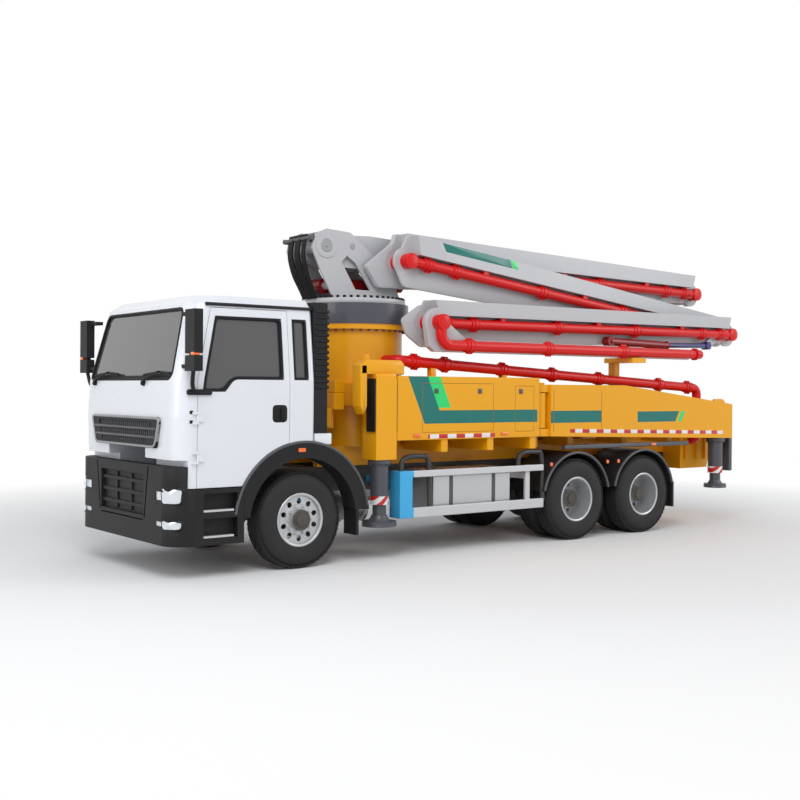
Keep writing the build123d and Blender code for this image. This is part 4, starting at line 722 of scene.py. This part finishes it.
for side, hand in SIDES.items():
    panel = on_side(hand)
    arm = f"rear_arm_{side}"
    lines = [gasket(rectangle(*door, 0.02), 0.008, PANEL - 0.004, PANEL + 0.0012, panel) for door in DOORS]
    piece(f"cabinet_seams_{side}", seam_shade_orange, "chassis", *lines)
    latches = [slab(rectangle(x - 0.03, x + 0.03, 1.95, 2.01, 0.012), PANEL - 0.002, PANEL + 0.012, panel)
               for x in (-1.9, -2.6, -3.3)]
    piece(f"cabinet_latches_{side}", dark_grey, "chassis", *latches)
    piece(f"cabinet_tape_{side}", tape, "chassis",
          slab(rectangle(-2.86, -1.775, 1.405, 1.455), *TAPE_FACES, panel, 0.001))
    lamps = [rectangle(x - 0.055, x + 0.055, 1.425, 1.465, 0.018) for x in DECK_MARKERS]
    spots = [slab(lamp, PANEL - 0.002, PANEL + 0.018, panel, 0.008) for lamp in lamps]
    piece(f"cabinet_markers_{side}", orange_lens, "chassis", *spots)
    piece(f"arm_tape_{side}", tape, arm, slab(rounded(ARM_TAPE, 0.004), *TAPE_FACES, panel, 0.001))
    skin = (hand * (PANEL - 0.01), hand * (PANEL + 0.001))
    lines = [block((x - 0.004, x + 0.004), skin, (1.45, 2.0), 0.001) for x in ARM_LINES]
    piece(f"arm_seams_{side}", seam_shade_orange, arm, *lines)
    hinge_cap = drum((-3.75, hand * 1.075, 2.066), 0.03, 0.07, (0, 0, 1))
    piece(f"arm_fittings_{side}", yellow_paint, arm,
          slab(rounded(ARM_EAR, 0.03), 1.05, 1.1, panel, 0.01), hinge_cap)
    beam = block((-6.73, -4.15), (hand * 1.1, hand * 1.17), (1.205, 1.262), 0.008)
    stays = [block((x - 0.04, x + 0.04), (hand * 0.88, hand * 1.12), (1.215, 1.25))
             for x in (-4.5, -5.6, -6.6)]
    piece(f"side_beam_{side}", leg_grey, "chassis", beam, *stays)
    wing_lamps = [slab(rectangle(x - 0.025, x + 0.025, 1.0, 1.05, 0.02), 1.236, 1.248, panel)
                  for x in (-3.82, -4.9, -5.12)]
    piece(f"beam_markers_{side}", orange_lens, "chassis",
          slab(rectangle(-5.99, -5.88, 1.215, 1.252, 0.016), 1.165, 1.185, panel, 0.006), *wing_lamps)
    loops = [tube(flow(np.array(GUARD_LOOP) * (1, hand, 1) + (x, 0, 0)), 0.032) for x in (-1.62, -3.52)]
    piece(f"guard_tubes_{side}", chassis_black, "chassis", *loops)
    tank = rectangle(hand * 0.517, hand * 1.133, 0.487, 1.013, 0.1)
    straps = [gasket(tank, 0.012, x - 0.03, x + 0.03, on_front) for x in (-2.2, -2.9)]
    piece(f"tank_straps_{side}", dark_grey, "chassis", *straps)
piece("tank_cap", chassis_black, "chassis", drum((-2.05, 0.9, 1.005), 0.05, 0.06, (0, 0, 1)),
      drum((-2.05, 0.9, 1.05), 0.02, 0.045, (0, 0, 1)))

# Pedestal and front legs: rolled-plate column with a bolted slew ring; each leg is a curved box beam
# with an upright jack, whose steel sleeve has a striped warning cuff above a pressed steel foot.
LEGS = (
    # leg, its carrier, station, side position, foot's height, sleeve's lower and upper end, foot's scale
    ("front", "front_beam", -1.14, 1.08, 0.39, 0.645, 1.172, 1.0),
    ("rear", "rear_arm", -7.48, 1.075, 0.54, 0.76, 1.292, 0.82),
)
SLEEVE_RADIUS = 0.108
COLLAR_RADIUS = 0.138
COLLAR_HEIGHT = 0.055


def slant(station, across, height):
    """Red bands that climb round the cuff."""
    return ((((station + height) * 7.5).maths("FRACT") > 0.5, tone(196, 26, 28)),)


def bolt_circle(x, y, z, circle, count, height, radius, edge):
    """Six-sided upright bolt heads, evenly spaced round a level circle about a point."""
    turns = np.linspace(0, 2 * np.pi, count, endpoint=False)
    spots = [(x + circle * math.cos(turn), y + circle * math.sin(turn), z) for turn in turns]
    return [drum(spot, height, radius, (0, 0, 1), edge, 6) for spot in spots]


cuff_paint = enamel("cuff_paint", tone(234, 234, 232), rough=0.4, gloss=0.3, soil=0.08, marks=slant,
                    slot="lamp_lens")
CUFF = ((0, 0.106), (0, 0.112), (0.1, 0.112), (0.1, 0.106))
FOOT = (
    (0.0, 0.0), (0.0, 0.2), (0.012, 0.208), (0.03, 0.2),
    (0.045, 0.15), (0.1, 0.105), (0.13, 0.092), (0.13, 0),
)
LEG_CAP = ((-1.435, 2.17), (-1.435, 2.29), (-1.385, 2.34), (-0.88, 2.34), (-0.81, 2.27), (-0.81, 2.17))
LIFT_EAR = ((-0.98, 2.33), (-0.96, 2.4), (-0.91, 2.4), (-0.89, 2.33))
LEG_LIMB = ((-0.79, 2.28), (-0.893, 2.28), (-0.893, 1.8), (-0.85, 1.7), (-0.8, 1.8))
for side, hand in SIDES.items():
    for leg, carrier, x, y, foot, sleeve_low, sleeve_high, size in LEGS:
        beam = f"{carrier}_{side}"
        spot = (x, hand * y)
        sleeve = drum((*spot, sleeve_low), sleeve_high - sleeve_low, SLEEVE_RADIUS, (0, 0, 1), 0.008, 40)
        collar = drum((*spot, sleeve_high - COLLAR_HEIGHT), COLLAR_HEIGHT, COLLAR_RADIUS, (0, 0, 1),
                      0.008, 40)
        bolts = bolt_circle(*spot, sleeve_high - 0.07, 0.125, 10, 0.02, 0.012, 0.003)
        piece(f"{leg}_sleeve_{side}", leg_grey, beam, sleeve, collar, *bolts)
        piece(f"{leg}_cuff_{side}", cuff_paint, beam, turned(CUFF, (*spot, sleeve_low), (0, 0, 1), 40))
        pad = turned([(rise, radius * size) for rise, radius in FOOT], (*spot, foot), (0, 0, 1), 48)
        piece(f"{leg}_foot_{side}", leg_grey, f"{leg}_leg_{side}", pad)
    panel = on_side(hand)
    beam = f"front_beam_{side}"
    neck = block((-1.285, -0.995), (hand * 0.95, hand * 1.21), (2.12, 2.18), 0.01)
    piece(f"leg_cap_{side}", yellow_paint, beam, slab(rounded(LEG_CAP, 0.012), 0.99, 1.17, panel, 0.01),
          slab(rounded(LIFT_EAR, 0.01), 1.055, 1.105, panel), neck)
    piece(f"leg_limb_{side}", yellow_paint, beam, slab(rounded(LEG_LIMB, 0.012), 1.0, 1.17, panel, 0.01))
    tracks = [slab(rectangle(low, high, 1.5, 2.12, 0.01), 1.05, 1.212, panel)
              for low, high in ((-0.985, -0.965), (-1.3, -1.285))]
    piece(f"leg_tracks_{side}", rubber_seal, beam, *tracks)
COLUMN_X = -1.51
piece("ring_bolts", rubber_seal, "turret", *bolt_circle(COLUMN_X, 0, 3.108, 0.634, 48, 0.035, 0.019, 0.005))
piece("flange_bolts", dark_grey, "chassis", *bolt_circle(COLUMN_X, 0, 2.705, 0.655, 40, 0.03, 0.016, 0.004))
valves = [block((-0.84, -0.7), (0.58, 0.78), (1.75, 1.95), 0.01),
          block((-0.86, -0.72), (0.6, 0.76), (1.95, 2.1), 0.01)]
piece("valve_block", yellow_paint, "chassis", *valves)

# Pump and hopper: welded hopper with a rim and ribs, material cylinders with flanges and steel tie
# rods, slim boxes bracketed to the hopper's corners, and red lamps behind the rear wheels.
rod_steel = finish("rod_steel", lambda place: {"Roughness": noise(place, 30) * 0.1 + 0.08},
                   {"Base Color": tone(205, 206, 208), "Metallic": 1.0})
rim = [block((-7.97, -7.06), (hand * 0.74, hand * 0.79), (1.64, 1.7), 0.008) for hand in SIDES.values()]
ribs = [block((x - 0.012, x + 0.012), (hand * 0.748, hand * 0.79), (0.95, 1.65), 0.005)
        for x in (-7.16, -7.42, -7.62) for hand in SIDES.values()]
piece("hopper_ribs", yellow_paint, "chassis", *rim, *ribs)
ties = [tube(((-7.05, hand * y, z), (-5.31, hand * y, z)), 0.016)
        for hand in SIDES.values() for y in (0.05, 0.33) for z in (1.09, 1.34)]
flanges = [drum((x, hand * 0.19, 1.215), 0.05, 0.15, (1, 0, 0))
           for x in (-7.0, -6.2, -5.33) for hand in SIDES.values()]
piece("pump_ties", rod_steel, "chassis", *ties)
piece("pump_flanges", yellow_paint, "chassis", *flanges)
rear_lamps = [slab(rectangle(hand * 0.7, hand * 1.05, 0.66, 0.74, 0.02), -6.34, -6.31, on_front)
              for hand in SIDES.values()]
piece("rear_lamps", red_lens, "chassis", *rear_lamps)
boxes = [block((-7.84, -7.765), (hand * 0.98, hand * 1.12), (0.78, 1.7), 0.012) for hand in SIDES.values()]
boxes += [block((-7.83, -7.775), (hand * 0.74, hand * 1.0), (z, z + 0.05), 0.006)
          for hand in SIDES.values() for z in (1.3, 1.55)]
piece("rear_boxes", leg_grey, "chassis", *boxes)

# Placing boom: welded box sections in light grey enamel with bored heads and greased pins; red concrete
# pipes run beside them from joint to joint in cast couplings, and hoses are clamped before the turret.
boom_grey = enamel("boom_grey", tone(187, 187, 190), rough=0.36, gloss=0.2, soil=0.12)
pipe_red = enamel("pipe_red", tone(214, 12, 14), rough=0.34, gloss=0.15, soil=0.03, shine=0.25)
# The cylinder barrels wear a darker copy of the pipes' red: painted shade, as they lie in the boom's shadow.
cylinder_red = enamel("cylinder_red", tone(140, 10, 16), rough=0.3, gloss=0.3, soil=0.03, shine=0.3)
rod_blue = enamel("rod_blue", tone(42, 40, 110), rough=0.25, gloss=0.5, soil=0.05, slot="rod_steel")
teal_label = enamel("teal_label", TEAL, rough=0.35, gloss=0.3, soil=0.05, slot="boom_grey")
green_label = enamel("green_label", GREEN, rough=0.35, gloss=0.3, soil=0.05, slot="boom_grey")
wear(boom_grey, "turret", "boom_1", "boom_2", "boom_3", "boom_4", "boom_5")
wear(pipe_red, "pipe_1", "pipe_2", "pipe_3", "pipe_4", "pipe_5", "deck_pipe")
wear(cylinder_red, "lift_barrel")
wear(rod_steel, "lift_rod")
round_edges(0.012, "turret", "boom_1", "boom_2", "boom_3", "boom_4", "boom_5")
HINGES = {"a": (-0.89, 3.745), "b": (-7.7, 3.51), "c": (-1.87, 3.59), "d": (-8.09, 2.88), "e": (-2.03, 2.82)}
RUNS = (
    # body, root hinge, far hinge, pipe's side position, outer edge of its lane
    ("boom_2", "b", "c", 0.4927, 0.565),
    ("boom_3", "c", "d", 0.6927, 0.76),
    ("boom_4", "d", "e", 0.8882, 0.956),
)
PIPE = 0.0665
HALF_COUPLING = ((0.016, 0.081), (0.02, 0.071), (0.045, 0.072), (0.05, 0.08), (0.07, 0.079), (0.075, PIPE))
COUPLING = (*((-along, radius) for along, radius in reversed(HALF_COUPLING)), *HALF_COUPLING)
EAR_RISE = 0.085
DOME = ((-0.06, 0.098), (-0.02, 0.099), (-0.006, 0.094), (0.004, 0.078), (0.008, 0.05), (0.009, 0))


def couplings(start, end, shares):
    """Cast couplings along a straight pipe: ridged rings with a bolt through each pair of ears."""
    start, end = np.array(start), np.array(end)
    way = (end - start) / np.linalg.norm(end - start)
    made = []
    for share in shares:
        spot = start + share * (end - start)
        made.append(turned(COUPLING, spot, way, 28))
        for rise in (-EAR_RISE, EAR_RISE):
            ear = spot + (0, 0, rise)
            made.append(drum(ear - way * 0.05, 0.1, 0.016, way, 0.004, 8))
    return made


RUN_SHARES = (0.045, 0.12, 0.37, 0.63, 0.88, 0.955)
TIP_SHARES = (0.06, 0.36, 0.68)
DECK_SHARES = (0.045, 0.13, 0.3, 0.46, 0.62, 0.845, 0.96)
WEBS = {
    # body: inner and outer face of its web, then its outline as (distance past the root or far hinge, rise)
    "boom_2": (0.332, 0.418, ((0, -0.13), (-0.17, -0.068), (-0.17, 0.068), (0, 0.19)),
               ((0.02, 0.27), (0.45, -0.06), (0.43, -0.11), (0.265, -0.33))),
    "boom_3": (0.582, 0.623, ((0, -0.32), (-0.17, -0.068), (-0.17, 0.068), (0, 0.15)),
               ((0, 0.11), (0.172, 0.06), (0.172, -0.06), (0, -0.18))),
    "boom_4": (0.777, 0.818, ((0, -0.13), (-0.17, -0.068), (-0.17, 0.068), (0, 0.22)),
               ((0.07, 0.23), (0.374, 0.04), (0.3, -0.15), (0.07, -0.3))),
}
for body, root, far, y, lane in RUNS:
    inner, outer, heel, nose = WEBS[body]
    ends = np.array((HINGES[root], HINGES[far]))
    ahead = (ends[1] - ends[0]) / np.linalg.norm(ends[1] - ends[0])
    rise = np.array((-ahead[1], ahead[0])) * np.sign(ahead[0])
    outline = [ends[0] + ahead * past + rise * up for past, up in heel]
    outline += [ends[1] + ahead * past + rise * up for past, up in nose]
    piece(f"{body}_web", boom_grey, body, slab(rounded(outline, 0.05), inner, outer, on_side(1), 0.008))
    start, end = (HINGES[root][0], y, HINGES[root][1]), (HINGES[far][0], y, HINGES[far][1])
    rings = couplings(start, end, RUN_SHARES)
    caps = [turned(DOME, (HINGES[name][0], lane, HINGES[name][1]), (0, 1, 0), 32) for name in (root, far)]
    piece(f"{body}_couplings", pipe_red, body, *rings, *caps)
TIP_Y, TIP_Z = 1.1318, 2.54
piece("boom_5_couplings", pipe_red, "boom_5",
      *couplings((-2.2, TIP_Y, TIP_Z), (-6.8, TIP_Y, TIP_Z), TIP_SHARES),
      turned(DOME, (HINGES["e"][0], 1.198, HINGES["e"][1]), (0, 1, 0), 32))
DECK_RUN = ((-1.56, 0.86, 2.35), (-7.3, 0.86, 2.04))
piece("deck_couplings", pipe_red, "chassis", *couplings(*DECK_RUN, DECK_SHARES))
TURRET_PINS = (
    # station, distance from the middle line, height, length, radius
    (HINGES["a"][0], 0.298, HINGES["a"][1], 0.02, 0.085),
    (HINGES["a"][0], 0.31, HINGES["a"][1], 0.014, 0.025),
    (-1.281, 0.298, 3.76, 0.008, 0.036),
)
pins = [drum((x, hand * y, z), length, radius, (0, hand, 0))
        for x, y, z, length, radius in TURRET_PINS for hand in SIDES.values()]
piece("turret_pins", frame_grey, "turret", *pins)
LABEL = ((-2.35, 3.85), (-3.5, 3.72), (-3.56, 3.61), (-2.41, 3.74))
LABEL_END = ((-3.51, 3.719), (-3.61, 3.708), (-3.67, 3.598), (-3.57, 3.609))
for name, paint, outline in (("boom_label", teal_label, LABEL), ("boom_label_end", green_label, LABEL_END)):
    piece(name, paint, "boom_3", slab(rounded(outline, 0.004), 0.755, 0.7615, on_side(1), 0.001))
piece("fold_barrel", cylinder_red, "boom_4", spool((-5.3, 0.888, 2.69), 1.25, 0.058, (-1, 0, -0.02), 0.01),
      drum((-5.3, 0.82, 2.69), 0.12, 0.07, (0, 1, 0)))
piece("fold_rod", rod_blue, "boom_4", tube(((-6.5, 0.888, 2.666), (-7.5, 0.888, 2.69)), 0.038),
      drum((-7.5, 0.82, 2.69), 0.12, 0.06, (0, 1, 0)))
links = rounded(((-7.42, 2.66), (-7.58, 2.64), (-7.9, 2.82), (-7.86, 2.9), (-7.72, 2.88)), 0.03)
piece("fold_link", boom_grey, "boom_4", slab(links, 0.83, 0.85, on_side(1)))
cover_turn = np.radians(np.linspace(40, 150, 20))
cover_rows = []
for radius, edges in ((0.166, (-0.19, 0.19)), (0.178, (0.19, -0.19))):
    x = HINGES["a"][0] + FRONT_AXLE + radius * np.cos(cover_turn)
    z = HINGES["a"][1] + radius * np.sin(cover_turn)
    cover_rows += [np.stack((x, 0 * x + y, z), axis=1) for y in edges]
piece("hose_cover", dark_grey, "boom_1", np.array((*cover_rows, cover_rows[0])))
hoses = []
for index, y in enumerate(np.linspace(-0.16, 0.2, 8)):
    lean = 0.012 * (index % 3)
    route = ((-0.67, y, 3.87), (-0.655 + lean, y, 3.75), (-0.65 + lean, y, 3.6), (-0.7, y * 0.9, 3.4),
             (-0.78, y * 0.8, 3.24), (-0.84, y * 0.7, 3.11))
    hoses.append(tube(flow(route), 0.019, 10))
piece("turret_hoses", rubber_seal, "turret", *hoses)
clamps = [block((-0.695, -0.635), (-0.3, 0.3), (3.8, 3.84), 0.008)]
clamps += [block((-0.77, -0.64), (hand * 0.272, hand * 0.298), (3.79, 3.85), 0.008)
           for hand in SIDES.values()]
piece("hose_clamps", dark_grey, "turret", *clamps)
rest = [block((-5.75, -5.45), (0.9, 0.93), (2.44, 2.56), 0.008),
        block((-5.7, -5.5), (0.64, 0.8), (1.39, 1.5), 0.01)]
rest += [block((x - 0.04, x + 0.04), (0.82, 0.9), (2.15, 2.29 + 0.054 * (x + 1.56)), 0.006)
         for x in (-2.1, -3.3)]
piece("boom_rest", yellow_paint, "chassis", *rest)

# Studio: a matt pale floor that fades to a white surround, with three large soft lamps round the
# truck; the camera stands off the left front corner, two metres above the floor.
FLOOR_RADIUS = 70
FLOOR_SIDES = 96
FLOOR_DROP = 0.0005
FADE_START = 5.0
FADE_RATE = 0.16
floor_mesh = bpy.data.meshes.new("studio_floor")
turn = np.linspace(0, 2 * np.pi, FLOOR_SIDES, endpoint=False)
floor_rim = FLOOR_RADIUS * np.stack((np.cos(turn), np.sin(turn), 0 * turn), axis=1) - (0, 0, FLOOR_DROP)
floor_mesh.from_pydata(floor_rim.tolist(), [], [list(range(FLOOR_SIDES))])
floor = bpy.data.objects.new("studio_floor", floor_mesh)
bpy.context.scene.collection.objects.link(floor)


def studio_floor(place):
    """Matt pale floor."""
    return {"Roughness": noise(place, 0.5) * 0.1 + 0.85}


def white_rays(value):
    """1 for camera, glossy and transmission rays, which see the plain white background, else 0."""
    camera_ray = value.node("ShaderNodeLightPath", {})
    glossy_ray, transmission_ray = camera_ray.out(3), camera_ray.out(6)
    return (camera_ray + glossy_ray + transmission_ray).maths("MINIMUM", 1.0)


floor_paint = finish("studio_floor", studio_floor, {
    "Base Color": (0.9, 0.9, 0.9, 1.0), "Specular IOR Level": 0.1})
tree = floor_paint.node_tree
place = Value(tree, tree.nodes.new("ShaderNodeTexCoord").outputs["Object"])
far = place.node("ShaderNodeVectorMath", {0: place}, out=1, operation="LENGTH")
fade = ((far - FADE_START) * FADE_RATE).maths("MULTIPLY", 1.0, use_clamp=True)
seen = white_rays(place)
white = place.node("ShaderNodeEmission", {"Color": (1, 1, 1, 1), "Strength": 1.0})
shaded = Value(tree, tree.nodes["Principled BSDF"].outputs[0])
mixed = place.node("ShaderNodeMixShader", {0: fade * seen, 1: shaded, 2: white})
tree.links.new(mixed.socket, tree.nodes["Material Output"].inputs["Surface"])
floor.data.materials.append(floor_paint)

world = bpy.data.worlds.new("studio")
bpy.context.scene.world = world
world.use_nodes = True
tree = world.node_tree
air = Value(tree, tree.nodes["Background"].outputs[0])
seen = white_rays(air)
dim = air.node("ShaderNodeBackground", {"Color": (0.93, 0.96, 1.0, 1), "Strength": 0.5})
white = air.node("ShaderNodeBackground", {"Color": (1, 1, 1, 1), "Strength": 1.0})
mixed = air.node("ShaderNodeMixShader", {0: seen, 1: dim, 2: white})
tree.links.new(mixed.socket, tree.nodes["World Output"].inputs["Surface"])

LAMPS = (
    # name, place, aim, size in metres, watts
    ("key", (9.0, 9.0, 11.0), (1.0, 0.5, 1.5), 7.0, 860),
    ("front_fill", (16.0, 1.5, 5.0), (4.0, 0.0, 1.5), 6.0, 360),
    ("rear_fill", (-10.0, 9.0, 7.0), (-2.0, 0.0, 2.0), 6.0, 420),
)
for name, stand, aim, size, watts in LAMPS:
    data = bpy.data.lights.new(name, "AREA")
    data.energy = watts
    data.size = size
    lamp = bpy.data.objects.new(name, data)
    lamp.location = stand
    way = np.subtract(aim, stand)
    tilt = math.acos(-way[2] / np.linalg.norm(way))
    lamp.rotation_euler = (tilt, 0, math.atan2(way[1], way[0]) - math.pi / 2)
    bpy.context.scene.collection.objects.link(lamp)

CAMERA_PLACE = (10.046, 11.705, 2.007)
CAMERA_TURNS = (-0.11, 0.37, 232.6)
FOCAL_PIXELS = 1123.5
CENTRE_PIXEL = (398.3, 390.6)
IMAGE = 800
camera_data = bpy.data.cameras.new("camera")
camera_data.sensor_width = 36
camera_data.lens = FOCAL_PIXELS * camera_data.sensor_width / IMAGE
camera_data.shift_x = 0.5 - CENTRE_PIXEL[0] / IMAGE
camera_data.shift_y = CENTRE_PIXEL[1] / IMAGE - 0.5
camera = bpy.data.objects.new("camera", camera_data)
camera.location = CAMERA_PLACE
pitch, roll, heading = np.radians(CAMERA_TURNS)
camera.rotation_mode = "XYZ"
camera.rotation_euler = (math.pi / 2 + pitch, -roll, heading - math.pi / 2)
bpy.context.scene.collection.objects.link(camera)
bpy.context.scene.camera = camera
bpy.context.scene.view_settings.view_transform = "Standard"
